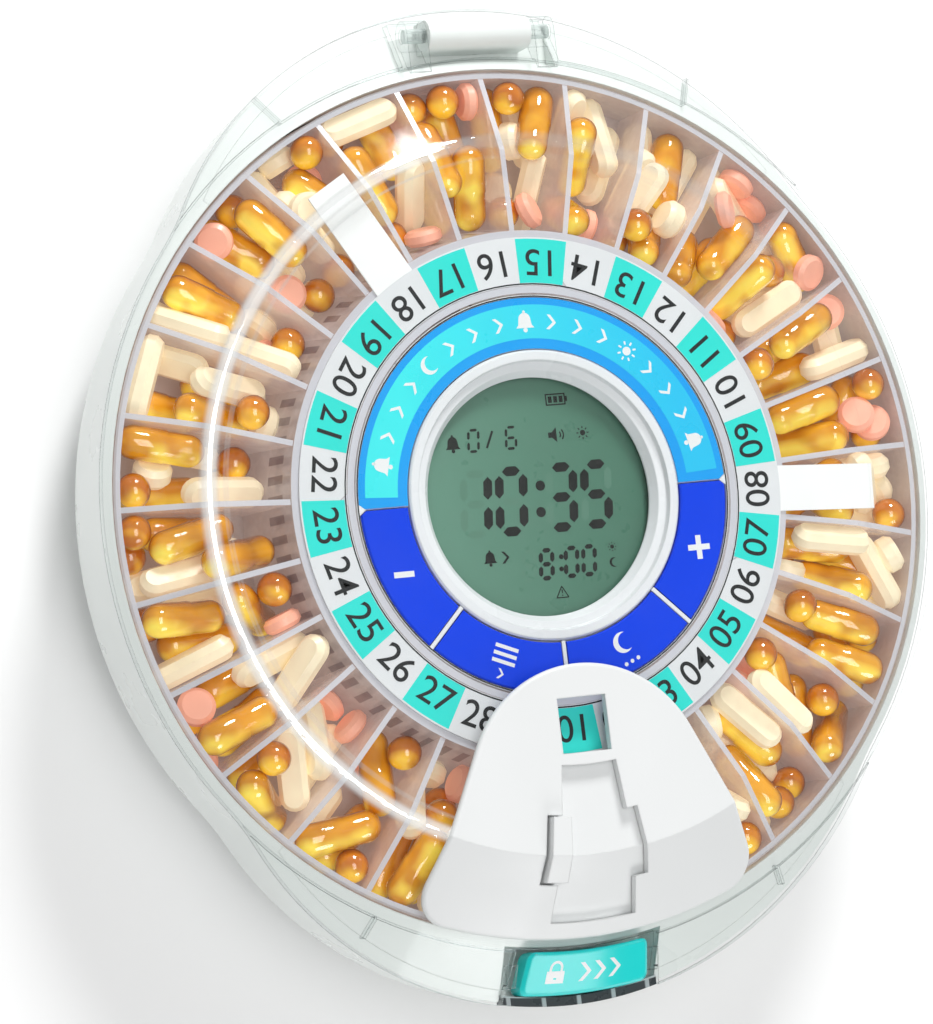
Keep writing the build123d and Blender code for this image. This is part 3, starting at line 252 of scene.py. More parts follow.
    def from_axis(self):
        """Distance from the carousel's axis, in metres."""
        across, along = self.axis(self.place, "X"), self.axis(self.place, "Y")
        return self.math("SQRT", self.plus(self.times(across, across), self.times(along, along)))

    def ring_mask(self, radius, half_width):
        """1 within a ring round the carousel's axis, in millimetres, with soft edges."""
        off = self.math("ABSOLUTE", self.math("SUBTRACT", self.from_axis(), radius * MM))
        return self.span(off, half_width * 0.7 * MM, half_width * 1.3 * MM, 1.0, 0.0)

    def mirror(self, straight_on):
        """How much a clear sheet reflects: a little straight on, everything at a grazing angle."""
        return self.span(self.math("POWER", self.facing(), 5.0), 0.0, 1.0, straight_on, 1.0)

    def see_through(self, amount, tint):
        """Mixes the shader over a clear one; amount is how much of the shader shows."""
        clear = self.node("ShaderNodeBsdfTransparent")
        clear.inputs["Color"].default_value = tint
        mixed = self.node("ShaderNodeMixShader")
        self.link(amount, mixed.inputs["Fac"])
        self.link(clear.outputs["BSDF"], mixed.inputs[1])
        self.link(self.shader.outputs["BSDF"], mixed.inputs[2])
        self.link(mixed.outputs["Shader"], self.tree.nodes["Material Output"].inputs["Surface"])

    def facing(self, blend=0.5):
        weight = self.node("ShaderNodeLayerWeight")
        weight.inputs["Blend"].default_value = blend
        return weight.outputs["Facing"]


def shaded(base, factor):
    return tuple(channel * factor for channel in base[:3]) + (1.0,)


def blended(first, second, amount):
    return tuple(a + (b - a) * amount for a, b in zip(first, second))


def moulded(name, base, roughness, grain=0.012, edge=0.35, edge_wear_and_sheen=0.06):
    """Injection-moulded plastic: faint flow marks, fine grain, smudges, and lighter edges that are partly
    wear and partly a painted highlight.
    """
    look = Look(name, base, roughness)
    tone = look.mottled(38.0, shaded(base, 0.955), base, 2.0, look.stretched(1.0, 0.45, 1.0))
    specks = look.span(look.noise(0.5, 2.0), 0.66, 0.80, 0.0, 0.04)
    tone = look.blend(specks, tone, shaded(base, 0.80))
    # lighter sharp edges: partly wear, partly a painted highlight where the edges catch the light
    lighter = tuple(min(1.0, channel + edge_wear_and_sheen) for channel in base[:3]) + (1.0,)
    tone = look.blend(look.sharp_edges(edge), tone, lighter)
    look.paint(tone)
    look.gloss(look.span(look.noise(16.0, 4.0), 0.30, 0.72, roughness * 0.8, roughness * 1.25))
    look.bump(look.noise(0.35, 3.0), grain, edge)
    return look


def printed(name, base, roughness=0.42, second=None, across=None):
    """Printed film or card; second is the colour that it fades to along x between two places."""
    look = Look(name, base, roughness)
    tone = look.mottled(12.0, shaded(base, 0.965), base)
    if second:
        fade = look.span(look.axis(look.place, "X"), across[0] * MM, across[1] * MM)
        tone = look.blend(fade, tone, second)
    fibres = look.span(look.noise(0.28, 2.0, look.stretched(1.0, 0.3, 1.0)), 0.62, 0.8, 0.0, 0.10)
    look.paint(look.blend(fibres, tone, shaded(base, 0.82)))
    look.patchy_gloss(7.0, roughness * 0.85, roughness * 1.2)
    look.bump(look.noise(0.22, 2.0), 0.004)
    return look


def metal(name, base, roughness, brush=(1.0, 1.0, 0.06)):
    """Plated or drawn metal with a brushed direction and darker stains."""
    look = Look(name, base, roughness).set(Metallic=1.0)
    lines = look.noise(0.25, 3.0, look.stretched(*brush))
    stains = look.span(look.noise(5.0, 4.0), 0.35, 0.75, 0.0, 0.45)
    look.paint(look.blend(stains, base, shaded(base, 0.72)))
    look.gloss(look.span(lines, 0.3, 0.7, roughness * 0.75, roughness * 1.35))
    look.bump(lines, 0.006, 0.15)
    return look


def latch_pocket(name):
    """Pale grey plastic round the button, dark along its ribbed front edge with painted shade for the slot
    under the button.
    """
    look = Look(name, colour(190, 200, 201), 0.32)
    edge = node_front("latch_trim") - FRONT_STRIP
    front = look.span(look.from_axis(), (edge - 0.2) * MM, edge * MM)
    count = look.math("FRACT", look.times(look.axis(look.place, "X"), 1 / (CLIP_PITCH * MM)))
    # painted shade: a dark strip for the slot under the button, broken by the pale clips
    dark = look.blend(look.span(count, 0.86, 0.90), colour(58, 64, 67), colour(176, 184, 186))
    look.paint(look.blend(front, look.mottled(9.0, colour(184, 195, 196), colour(206, 214, 215)), dark))
    look.patchy_gloss(3.0, 0.2, 0.42)
    look.bump(look.noise(0.5, 2.0), 0.01, 0.3)
    return look


def rubbery(name, base):
    look = Look(name, base, 0.85).set(Specular_IOR_Level=0.3)
    dust = look.span(look.noise(3.0, 4.0), 0.50, 0.72, 0.0, 0.5)
    look.paint(look.blend(dust, base, colour(86, 84, 80)))
    look.patchy_gloss(6.0, 0.72, 0.95)
    look.bump(look.cells(0.5), 0.03)
    return look


def clear_lid(name):
    """Clear polycarbonate: sharp reflections, smears, painted shade along its edges and where it is seen
    edge-on, and a painted highlight as a white band at its crease.
    """
    look = Look(name, colour(236, 242, 240), 0.04).set(Metallic=1.0)
    edge_on = look.span(look.facing(), 0.50, 0.92)
    corners = look.sharp_edges(0.28)
    smears = look.span(look.noise(22.0, 4.0), 0.50, 0.78, 0.0, 0.010)
    scratches = look.noise(0.5, 2.0, look.stretched(1.0, 0.025, 1.0))
    film = look.plus(smears, look.span(scratches, 0.70, 0.76, 0.0, 0.008))
    wall = look.math("MAXIMUM", look.times(edge_on, 0.50), look.times(corners, 0.82))
    # painted shade: grey-green where the lid is seen edge-on and dark grey along its sharp edges, for light
    # bent through its thickness
    plain = look.blend(edge_on, colour(244, 248, 247), colour(122, 150, 148))
    look.paint(look.blend(corners, plain, colour(56, 70, 72)))
    look.gloss(look.span(look.noise(9.0, 3.0), 0.35, 0.75, 0.02, 0.08))
    look.bump(look.noise(30.0, 1.0), 0.02)
    # painted highlight: a white band round the crease, strong on the left and fainter towards +y, which glows
    # and makes the lid more opaque there
    left = look.span(look.axis(look.place, "X"), -26 * MM, 4 * MM, 1.0, 0.0)
    right = look.span(look.axis(look.place, "Y"), 20 * MM, 60 * MM, 0.0, 0.30)
    side = look.math("MAXIMUM", left, right)
    broad_highlight = look.times(look.ring_mask(LID_FLAT_RADIUS - 0.6, 1.5), 0.46)
    narrow_highlight = look.times(look.ring_mask(LID_FLAT_RADIUS - 4.2, 0.3), 0.20)
    crease = look.times(look.plus(broad_highlight, narrow_highlight), side)
    look.glow(look.blend(crease, BLACK, WHITE_LIGHT), 1.0)
    amount = look.plus(look.math("MAXIMUM", look.mirror(0.010), wall), crease)
    look.see_through(look.plus(amount, film), (0.992, 0.996, 0.995, 1.0))
    return look


def smoky_tray(name, teeth=False):
    """Translucent plastic with a painted highlight on its upward-facing top edges and a faint painted glow;
    teeth adds painted shade where the gear's tooth spaces show through it.
    """
    look = Look(name, colour(206, 194, 193), 0.14)
    walls = look.mottled(14.0, colour(226, 210, 206), colour(244, 233, 230))
    # painted highlight: upward-facing faces above the floor are lighter and more opaque, as if lit from above
    high = look.span(look.axis(look.place, "Z"), (FLOOR_TOP + 2) * MM, (FLOOR_TOP + 3) * MM)
    lit_top_edges = look.times(look.span(look.axis(look.normal(), "Z"), 0.45, 0.75), high)
    tone = look.blend(lit_top_edges, walls, colour(206, 207, 214))
    look.patchy_gloss(5.0, 0.08, 0.22)
    look.bump(look.noise(0.8, 2.0), 0.006)
    thick = look.span(look.facing(), 0.10, 0.95, 0.20, 0.54)
    body = look.plus(thick, look.span(look.noise(2.5, 4.0), 0.45, 0.8, 0.0, 0.08))
    if teeth:
        # painted shade in the spaces between the gear's teeth, seen through the hub
        tooth_gap_shade = tooth_spaces(look, RING_TOP - 10.5, RING_TOP - 4.0)
        tone = look.blend(tooth_gap_shade, tone, colour(140, 126, 128))
        body = look.plus(body, look.times(tooth_gap_shade, 0.30))
    look.paint(tone)
    # painted light: the plastic glows faintly in its own colour to lift the shade inside the compartments
    look.glow(tone, 0.13)
    look.see_through(look.math("MAXIMUM", body, look.times(lit_top_edges, 0.82)),
                     (0.978, 0.955, 0.95, 1.0))
    return look


def frosted(name, base):
    """Clear plastic gone milky: the hinge's barrel."""
    look = Look(name, base, 0.12)
    look.paint(look.mottled(8.0, shaded(base, 0.86), base))
    look.patchy_gloss(4.0, 0.08, 0.2)
    look.bump(look.noise(5.0, 1.0), 0.02)
    look.see_through(look.span(look.facing(), 0.05, 0.9, 0.22, 0.85), (0.97, 0.985, 0.98, 1.0))
    return look


def tooth_spaces(look, low, high):
    """1 in the spaces between the ring gear's teeth, between two heights in millimetres."""
    turn = look.math("ARCTAN2", look.axis(look.place, "Y"), look.axis(look.place, "X"))
    count = look.math("FRACT", look.times(turn, RING_TEETH / (2 * math.pi)))
    space = look.span(look.math("ABSOLUTE", look.math("SUBTRACT", count, 0.5)), 0.20, 0.25, 1.0, 0.0)
    level = look.axis(look.place, "Z")
    inside = look.times(look.span(level, low * MM, (low + 0.3) * MM),
                        look.span(level, high * MM, (high - 0.3) * MM))
    return look.times(space, inside)


def window(name):
    """The display's clear lens."""
    look = Look(name, colour(240, 244, 242), 0.03).set(Metallic=1.0)
    smears = look.span(look.noise(9.0, 4.0), 0.5, 0.8, 0.0, 0.015)
    look.paint(look.blend(smears, colour(240, 244, 242), colour(214, 222, 218)))
    look.patchy_gloss(6.0, 0.02, 0.06)
    look.bump(look.noise(20.0, 1.0), 0.008)
    look.see_through(look.plus(look.mirror(0.015), smears), (0.985, 0.99, 0.985, 1.0))
    return look


def toothed_nylon(name):
    """The ring gear: pale nylon, with painted shade in its tooth spaces where they show through the thin rim.
    """
    look = Look(name, colour(214, 208, 204), 0.42)
    pale = look.mottled(6.0, colour(206, 198, 195), colour(222, 216, 212))
    # painted shade in the spaces between the teeth
    look.paint(look.blend(tooth_spaces(look, FLOOR_TOP + 1.4, FLOOR_TOP + 5.2), pale, colour(84, 74, 76)))
    look.patchy_gloss(3.0, 0.34, 0.52)
    look.bump(look.noise(0.4, 2.0), 0.01)
    return look


def circuit_board(name):
    """Green lacquer over copper tracks."""
    look = Look(name, colour(18, 92, 48), 0.35)
    tracks = look.node("ShaderNodeTexBrick", offset=0.3)
    tracks.inputs["Scale"].default_value = 1 / (9.0 * MM)
    tracks.inputs["Mortar Size"].default_value = 0.035
    for name, tone in (("Color1", BLACK), ("Color2", BLACK), ("Mortar", WHITE_LIGHT)):
        tracks.inputs[name].default_value = tone
    look.link(look.place, tracks.inputs["Vector"])
    green = look.blend(look.span(look.noise(8.0), 0.3, 0.7), colour(14, 78, 40), colour(22, 104, 56))
    look.paint(look.blend(tracks.outputs["Color"], green, colour(52, 140, 82)))
    look.patchy_gloss(1.5, 0.25, 0.45)
    look.bump(tracks.outputs["Color"], 0.03)
    return look


def liquid_crystal(name):
    """The panel's grey-green, lighter at the left by painted light, with a faint reflector grain."""
    look = Look(name, colour(112, 158, 138), 0.32)
    # painted light: lighter at the left, darker towards the right
    fade = look.span(look.axis(look.place, "X"), -24 * MM, 24 * MM)
    tone = look.blend(fade, colour(110, 156, 137), colour(78, 126, 106))
    grain = look.span(look.noise(0.3, 2.0), 0.4, 0.7, 0.0, 0.25)
    look.paint(look.blend(grain, tone, colour(92, 138, 118)))
    look.patchy_gloss(4.0, 0.26, 0.4)
    look.bump(look.noise(0.25, 1.0), 0.003)
    return look


def softgel_skin(name, deep, middle, bright):
    """A gelatine skin over oil: painted shade darkens it round its edge, and a painted glow lights the side
    away from the lamp, as the oil focuses light there.
    """
    look = Look(name, middle, 0.05).set(IOR=1.3, Coat_Weight=1.0, Coat_Roughness=0.02, Coat_IOR=1.85)
    pool = look.span(look.noise(6.0, 1.0), 0.38, 0.62)
    body = look.blend(pool, blended(middle, deep, 0.22), blended(middle, bright, 0.15))
    # painted shade round the edge, where the oil looks thick
    rim = look.span(look.facing(), 0.32, 0.80)
    body = look.blend(rim, body, deep)
    # painted light: bright patches on the side away from the key light, painted in the colour and glowing
    glow = look.span(look.towards(GLOW_SIDE), 0.72, 0.94)
    broken = look.times(glow, look.span(look.noise(7.0, 1.0), 0.34, 0.54))
    look.paint(look.blend(broken, body, bright))
    look.patchy_gloss(3.0, 0.03, 0.10, 2.0)
    look.bump(look.noise(3.0, 1.0), 0.02)
    look.glow(look.blend(broken, shaded(middle, 0.30), bright), 0.30)
    return look


def pressed_powder(name, base):
    """A coated tablet: chalky body, fine pits, a soft film on top and a faint painted glow in its own colour.
    """
    # painted light: the tablet glows faintly in its own colour
    look = Look(name, base, 0.38).set(Emission_Color=base, Emission_Strength=0.16, Coat_Weight=0.25)
    look.set(Coat_Roughness=0.25)
    tone = look.blend(look.span(look.noise(4.0, 3.0), 0.3, 0.7), shaded(base, 0.90), base)
    specks = look.span(look.noise(0.35, 2.0), 0.66, 0.76, 0.0, 0.4)
    look.paint(look.blend(specks, tone, shaded(base, 0.70)))
    look.patchy_gloss(1.5, 0.28, 0.5)
    look.bump(look.noise(0.30, 3.0), 0.02)
    return look


WHITE = colour(240, 241, 241)
INK = colour(24, 26, 28)
looks = {look.name: look for look in (
    moulded("shell_white", colour(236, 241, 238), 0.30),
    moulded("inner_white", colour(232, 226, 224), 0.45),
    moulded("cover_white", colour(232, 234, 234), 0.34, edge=0.5),
    clear_lid("clear_lid"),
    smoky_tray("tray_clear"),
    printed("card", colour(228, 230, 232)),
    printed("key_blue", colour(4, 66, 230), 0.34).set(Specular_IOR_Level=0.25),
    moulded("latch_turquoise", colour(0, 222, 218), 0.12, grain=0.004, edge=0.6),
    moulded("bezel_white", colour(236, 238, 240), 0.28, edge=0.4),
    window("lens_clear"),
    liquid_crystal("lcd_green"),
    circuit_board("board_green"),
    moulded("part_black", colour(30, 31, 33), 0.45, edge_wear_and_sheen=0.05),
    moulded("trim_grey", colour(74, 80, 82), 0.5, edge_wear_and_sheen=0.05),
    moulded("nylon", colour(214, 210, 202), 0.42),
    metal("steel", colour(176, 178, 182), 0.28),
    metal("brass", colour(196, 160, 92), 0.35),
    metal("motor_can", colour(186, 188, 190), 0.32),
    moulded("cell_wrap", colour(38, 44, 54), 0.28, edge_wear_and_sheen=0.04),
    rubbery("rubber", colour(52, 52, 54)),
)}
OWN_LOOKS = {
    "banner_label": printed("banner_blue", colour(15, 162, 242), 0.30),
    "ring_gear": toothed_nylon("nylon_teeth"),
    "tray_hub": smoky_tray("hub_clear", teeth=True),
    "hinge_pin": frosted("hinge_frosted", colour(226, 236, 233)),
    "latch_trim": latch_pocket("latch_pocket"),
    "label_strips": printed("label_white", colour(250, 251, 250)),
}


def dress_nodes():
    for row in frame["record"]["subparts"]:
        name = row["node"]
        look = OWN_LOOKS.get(name) or looks[row["material_slot"]]
        materials = nodes[name].data.materials
        materials.clear()
        materials.append(look.material)


# ---------------------------------------- print
# a drawing's place is a function that takes its x, y and height to the model
def turned(angle, radius):
    """Places a drawing on the ring plane with its top towards the middle."""
    rotation = Matrix.Rotation(angle + math.pi / 2, 2)
    return lambda x, y, z: (*(rotation @ Vector((x, y - radius))), z)


def upright(x_at, y_at):
    return lambda x, y, z: (x_at + x, y_at + y, z)


def arched(angle, radius):
    """Places a drawing on the ring plane with its top away from the middle."""
    rotation = Matrix.Rotation(angle - math.pi / 2, 2)
    return lambda x, y, z: (*(rotation @ Vector((x, y + radius))), z)


def on_button(x, y, z):
    """Places a drawing on the latch button's sloped top; z is the height above it."""
    radius = BUTTON_MIDDLE - y
    angle = FRONT + x / BUTTON_MIDDLE
    top = LID_SHOULDER_HEIGHT - LID_SLOPE * (radius - LID_SHOULDER_RADIUS) + BUTTON_PROUD
    return around(radius, angle, top + z)


def around(radius, angle, height):
    """A point at this distance from the carousel's axis."""
    return (radius * math.cos(angle), radius * math.sin(angle), height)


def polar(radius, degrees):
    return around(radius, math.radians(degrees), 0.0)[:2]


class Print:
    """Flat marks collected into one thin mesh."""

    def __init__(self, name, look, level):
        self.name = name
        self.look = look
        self.level = level
        self.mesh = bmesh.new()

    def mark(self, outline, place):
        low = [self.mesh.verts.new(Vector(place(x, y, self.level - MARK_SINK)) * MM) for x, y in outline]
        high = [self.mesh.verts.new(Vector(place(x, y, self.level + MARK_LIFT)) * MM) for x, y in outline]
        self.mesh.faces.new(high)
        self.mesh.faces.new(reversed(low))
        join_loops(self.mesh, low, high)

    def marks(self, outlines, place):
        for outline in outlines:
            self.mark(outline, place)

    def to_object(self, body):
        bmesh.ops.recalc_face_normals(self.mesh, faces=self.mesh.faces)
        data = mesh_from(self.mesh, self.name)
        data.materials.append(self.look.material)
        join_scene(data, self.name, body)


def join_loops(made, low, high):
    for i in range(len(low)):
        j = (i + 1) % len(low)
        made.faces.new((low[i], low[j], high[j], high[i]))


def mesh_from(made, name):
    """Turns a working mesh into mesh data, and frees it."""
    data = bpy.data.meshes.new(name)
    made.to_mesh(data)
    made.free()
    return data


def in_scene(name, data):
    made = bpy.data.objects.new(name, data)
    bpy.context.scene.collection.objects.link(made)
    return made


def join_scene(data, name, body):
    made = in_scene(name, data)
    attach(made, body)


def arc_points(radius, first, last, steps, centre=(0.0, 0.0)):
    angles = [first + (last - first) * i / steps for i in range(steps + 1)]
    return [(centre[0] + radius * math.cos(a), centre[1] + radius * math.sin(a)) for a in angles]


def band(inner, outer, first, last, steps, centre=(0.0, 0.0)):
    """Outline of a stretch of ring between two radii."""
    outside = arc_points(outer, first, last, steps, centre)
    return outside + list(reversed(arc_points(inner, first, last, steps, centre)))


def ring(inner, outer, steps=24, centre=(0.0, 0.0)):
    """A closed ring as four quarter bands."""
    quarter = math.pi / 2
    return [band(inner, outer, i * quarter, (i + 1) * quarter, steps, centre) for i in range(4)]


def bar(x0, y0, x1, y1, width):
    """A straight stroke."""
    length = math.hypot(x1 - x0, y1 - y0)
    across = (-(y1 - y0) / length * width / 2, (x1 - x0) / length * width / 2)
    return [(x0 - across[0], y0 - across[1]), (x1 - across[0], y1 - across[1]),
            (x1 + across[0], y1 + across[1]), (x0 + across[0], y0 + across[1])]


def box(width, height, x=0.0, y=0.0):
    return bar(x - width / 2, y, x + width / 2, y, height)


def dot(radius, x=0.0, y=0.0, steps=14):
    return arc_points(radius, 0, 2 * math.pi * (steps - 1) / steps, steps - 1, (x, y))


def moved(outlines, x=0.0, y=0.0, scale=1.0):
    return [[(px * scale + x, py * scale + y) for px, py in outline] for outline in outlines]


def chevron(size, turn=0.0):
    """An arrow head that points along +x before it is turned."""
    points = [(-0.35, 0.5), (-0.1, 0.5), (0.35, 0.0), (-0.1, -0.5), (-0.35, -0.5), (0.1, 0.0)]
    c, s = math.cos(turn), math.sin(turn)
    return [[(size * (x * c - y * s), size * (x * s + y * c)) for x, y in points]]


def bell(size):
    dome = arc_points(0.30, math.pi, 0, 10, (0, 0.12))
    body = [(-0.46, -0.30), (-0.34, -0.16)] + dome + [(0.34, -0.16), (0.46, -0.30)]
    return moved([body, dot(0.11, 0, -0.40), dot(0.07, 0, 0.46)], scale=size)


def speaker(size):
    horn = [(-0.5, -0.15), (-0.28, -0.15), (0.0, -0.42), (0.0, 0.42), (-0.28, 0.15), (-0.5, 0.15)]
    waves = [band(r, r + 0.08, -0.7, 0.7, 6) for r in (0.2, 0.38)]
    return moved([horn] + waves, scale=size)


def moon(size):
    outer = arc_points(0.5, math.radians(55), math.radians(305), 18)
    inner = arc_points(0.42, math.radians(283), math.radians(77), 14, (0.19, 0.0))
    return moved([outer + inner], scale=size)


def sun(size):
    rays = []
    for i in range(8):
        a = i * math.pi / 4
        rays.append(bar(0.33 * math.cos(a), 0.33 * math.sin(a), 0.5 * math.cos(a), 0.5 * math.sin(a), 0.09))
    return moved([dot(0.22)] + rays, scale=size)


def warning(size):
    corners = [(-0.5, -0.42), (0.5, -0.42), (0.0, 0.46)]
    sides = [bar(*corners[i], *corners[(i + 1) % 3], 0.09) for i in range(3)]
    return moved(sides + [bar(0, -0.08, 0, 0.2, 0.09), dot(0.055, 0, -0.25)], scale=size)


def battery(width, height):
    line = 0.3
    frame_bars = [box(width, line, 0, height / 2), box(width, line, 0, -height / 2),
                  box(line, height + line, -width / 2), box(line, height + line, width / 2)]
    fill = [box(width / 5, height - 3 * line, (i - 1) * width / 3.4) for i in range(3)]
    return frame_bars + fill + [box(0.6, height / 2, width / 2 + 0.3)]


def padlock(size):
    shackle = band(0.20, 0.31, 0, math.pi, 12, (0, 0.16))
    legs = [box(0.11, 0.24, side * 0.255, 0.06) for side in (-1, 1)]
    body = [box(0.82, 0.28, 0, -0.12), box(0.82, 0.16, 0, -0.42)]
    keyhole_sides = [box(0.34, 0.10, side * 0.24, -0.30) for side in (-1, 1)]
    return moved([shackle] + legs + body + keyhole_sides, scale=size)


SEGMENTS = {
    "top": ((0.12, 1.0), (0.88, 1.0)),
    "middle": ((0.12, 0.5), (0.88, 0.5)),
    "bottom": ((0.12, 0.0), (0.88, 0.0)),
    "upper_left": ((0.0, 0.56), (0.0, 0.94)), "upper_right": ((1.0, 0.56), (1.0, 0.94)),
    "lower_left": ((0.0, 0.06), (0.0, 0.44)), "lower_right": ((1.0, 0.06), (1.0, 0.44)),
}
SHOWN = {
    "0": "top bottom upper_left upper_right lower_left lower_right",
    "1": "upper_right lower_right",
    "3": "top middle bottom upper_right lower_right",
    "5": "top middle bottom upper_left lower_right",
    "6": "top middle bottom upper_left lower_left lower_right",
    "8": " ".join(SEGMENTS),
}
SLANT = 0.10


def segment(start, end, width, height, thickness):
    """One display segment: a bar with pointed ends."""
    x0, y0, x1, y1 = start[0] * width, start[1] * height, end[0] * width, end[1] * height
    length = math.hypot(x1 - x0, y1 - y0)
    ux, uy = (x1 - x0) / length, (y1 - y0) / length
    half = thickness / 2
    points = [(0, 0), (half, half), (length - half, half), (length, 0), (length - half, -half), (half, -half)]
    placed = [(x0 + a * ux - b * uy, y0 + a * uy + b * ux) for a, b in points]
    return [(x + SLANT * y, y) for x, y in placed]


def digit(character, width, height, thickness):
    return [segment(*SEGMENTS[name], width, height, thickness) for name in SHOWN[character].split()]


def display_row(text, x, y, width, height, thickness, pitch):
    """Outlines of a row of digits and colons whose lower left corner is at x, y."""
    outlines = []
    for character in text:
        if character == ":":
            for level in (0.28, 0.72):
                up = level * height
                outlines += moved([dot(thickness * 0.55)], x + pitch * 0.16 + SLANT * up, y + up)
            x += pitch * 0.42
        else:
            outlines += moved(digit(character, width, height, thickness), x, y)
            x += pitch
    return outlines


def number_cells():
    """Turquoise cells under the odd numbers and a thin line along the ring's inner edge."""
    cells = Print("number_cells", printed("cell_turquoise", colour(44, 226, 214), 0.36), RING_TOP)
    for number in range(1, PLACES, 2):
        middle = FRONT + (number - 1) * STEP
        cells.mark(band(RING_INNER + 0.5, RING_OUTER - 0.35, middle - STEP / 2, middle + STEP / 2, 5),
                   upright(0, 0))
    cells.to_object("tray")
    lines = Print("ring_lines", printed("line_ink", INK, 0.5), RING_TOP)
    lines.marks(ring(RING_INNER + 0.12, RING_INNER + 0.42), upright(0, 0))
    lines.to_object("tray")


def text_outline(text, height):
    """A plain number as a thin mesh, centred, with digits of this height in millimetres."""
    curve = bpy.data.curves.new("digits", "FONT")
    curve.body = text
    curve.align_x = "CENTER"
    curve.align_y = "CENTER"
    curve.size = height / 0.73
    curve.offset = 0.025
    curve.extrude = (MARK_LIFT + MARK_SINK) / 2
    holder = in_scene("digits", curve)
    bpy.context.view_layer.update()
    data = bpy.data.meshes.new_from_object(holder.evaluated_get(bpy.context.evaluated_depsgraph_get()))
    bpy.data.objects.remove(holder)
    return data


def ring_numbers():
    """The plain numbers 01 to 28, each with its top towards the middle."""
    joined = bmesh.new()
    middle = (RING_INNER + RING_OUTER) / 2
    for number in range(1, PLACES):
        data = text_outline(f"{number:02d}", DIGIT_HEIGHT)
        angle = FRONT + (number - 1) * STEP
        at = Vector(around(middle, angle, RING_TOP + MARK_LIFT))
        turn = Matrix.Rotation(angle + math.pi / 2, 4, "Z")
        data.transform(Matrix.Scale(MM, 4) @ Matrix.Translation(at) @ turn)
        joined.from_mesh(data)
    data = mesh_from(joined, "ring_numbers")
    data.materials.append(printed("number_ink", INK, 0.5).material)
    join_scene(data, "ring_numbers", "tray")


def banner_print():
    """The banner's bright inner band with a row of plain marks in place of words."""
    inner, outer = BANNER_BAND
    bright = printed("band_cyan", colour(66, 236, 238), 0.30, colour(38, 196, 240), (-30, 34))
    strip = Print("banner_band", bright, BANNER_TOP)
    strip.mark(band(inner, outer, math.radians(3.5), math.radians(176.5), 60), upright(0, 0))
    strip.to_object("base")
    white = Print("banner_marks", printed("mark_white", WHITE, 0.35), BANNER_TOP + MARK_LIFT)
    middle = (inner + outer) / 2
    row = [bell(4.6)] + [chevron(3.2)] * 3 + [moon(4.0)] + [chevron(3.2)] * 3 + [bell(4.6)]
    row += [chevron(3.2)] * 3 + [sun(4.4)] + [chevron(3.2)] * 3 + [bell(4.6)]
    for index, drawing in enumerate(row):
        angle = math.radians(166 - index * 152 / (len(row) - 1))
        white.marks(drawing, arched(angle, middle))
    white.to_object("base")
    line = Print("module_line", printed("module_ink", INK, 0.5), RIM_TOP)
    line.marks(ring(*MODULE_LINE), upright(0, 0))
    line.to_object("base")


def key_prints():
    """White marks on the four keys."""
    white = printed("key_mark_white", WHITE, 0.35)
    lines = [box(5.4, 0.8, 0, y) for y in (2.9, 1.3, -0.3)]
    dots = [dot(0.45, x, -3.1) for x in (-1.6, 0, 1.6)]
    cross = [box(5.2, 1.25), box(1.25, 1.98, 0, 1.62), box(1.25, 1.98, 0, -1.62)]
    drawings = {
        "minus": ([box(4.6, 1.25)], upright(*polar(KEY_MIDDLE, 202.5))),
        "plus": (cross, upright(*polar(KEY_MIDDLE, 337.5))),
        "menu": (lines + moved(chevron(2.2), 0, -2.9), turned(math.radians(247.5), KEY_MIDDLE)),
        "sleep": (moved(moon(4.6), 0, 1.4) + dots, turned(math.radians(292.5), KEY_MIDDLE)),
    }
    for key, (outlines, place) in drawings.items():
        mark = Print(key + "_mark", white, KEY_TOP)
        mark.marks(outlines, place)
        mark.to_object(key + "_key")


def panel_print():
    """What the display shows: a plain time, a second time, counts and plain signs."""
    ink = Print("lcd_segments", printed("lcd_ink", colour(6, 10, 8), 0.45), PANEL_TOP)
    faint = Print("lcd_ghosts", printed("lcd_faint", colour(100, 144, 125), 0.35), PANEL_TOP - 0.01)
    shift = upright(1.8, 0.3)
    rows = [
        (ink, "10:35", -19.4, -7.2, 5.6, 13.0, 2.05, 8.3), (faint, "88:88", -19.4, -7.2, 5.6, 13.0, 1.7, 8.3),
        (ink, "8:00", -2.9, -17.9, 2.7, 6.0, 1.0, 4.15), (faint, "88", -7.05, -17.9, 2.7, 6.0, 0.85, 4.15),
        (ink, "0", -16.2, 10.7, 2.3, 4.6, 0.6, 4.0), (ink, "6", -7.4, 10.7, 2.3, 4.6, 0.6, 4.0),
    ]
    for layer, *row in rows:
        layer.marks(display_row(*row), shift)
    ink.mark(bar(-11.9, 11.2, -10.2, 14.8, 0.5), shift)
    signs = [
        (bell(3.8), -19.7, 12.6), (speaker(3.9), 4.7, 12.9), (sun(2.9), 10.9, 12.9),
        (battery(4.4, 2.3), 5.4, 20.6), (bell(3.4), -14.2, -12.6), (chevron(2.6), -10.6, -12.6),
        (sun(2.1), 14.6, -12.4), (moon(2.1), 14.6, -15.8), (warning(2.8), 1.6, -21.2),
    ]
    for outlines, x, y in signs:
        ink.marks(moved(outlines, x, y), shift)
    ink.to_object("base")
    faint.to_object("base")


def latch_print():
    """A padlock and two arrow heads that say press to open."""
    white = Print("latch_marks", printed("latch_mark_white", WHITE, 0.3), 0.0)
    white.marks(moved(padlock(5.0), -7.6, 0.4), on_button)
    for x in (-0.6, 2.9, 6.4):
        white.marks(moved(chevron(4.0), x, 0.0), on_button)
    white.to_object("latch")


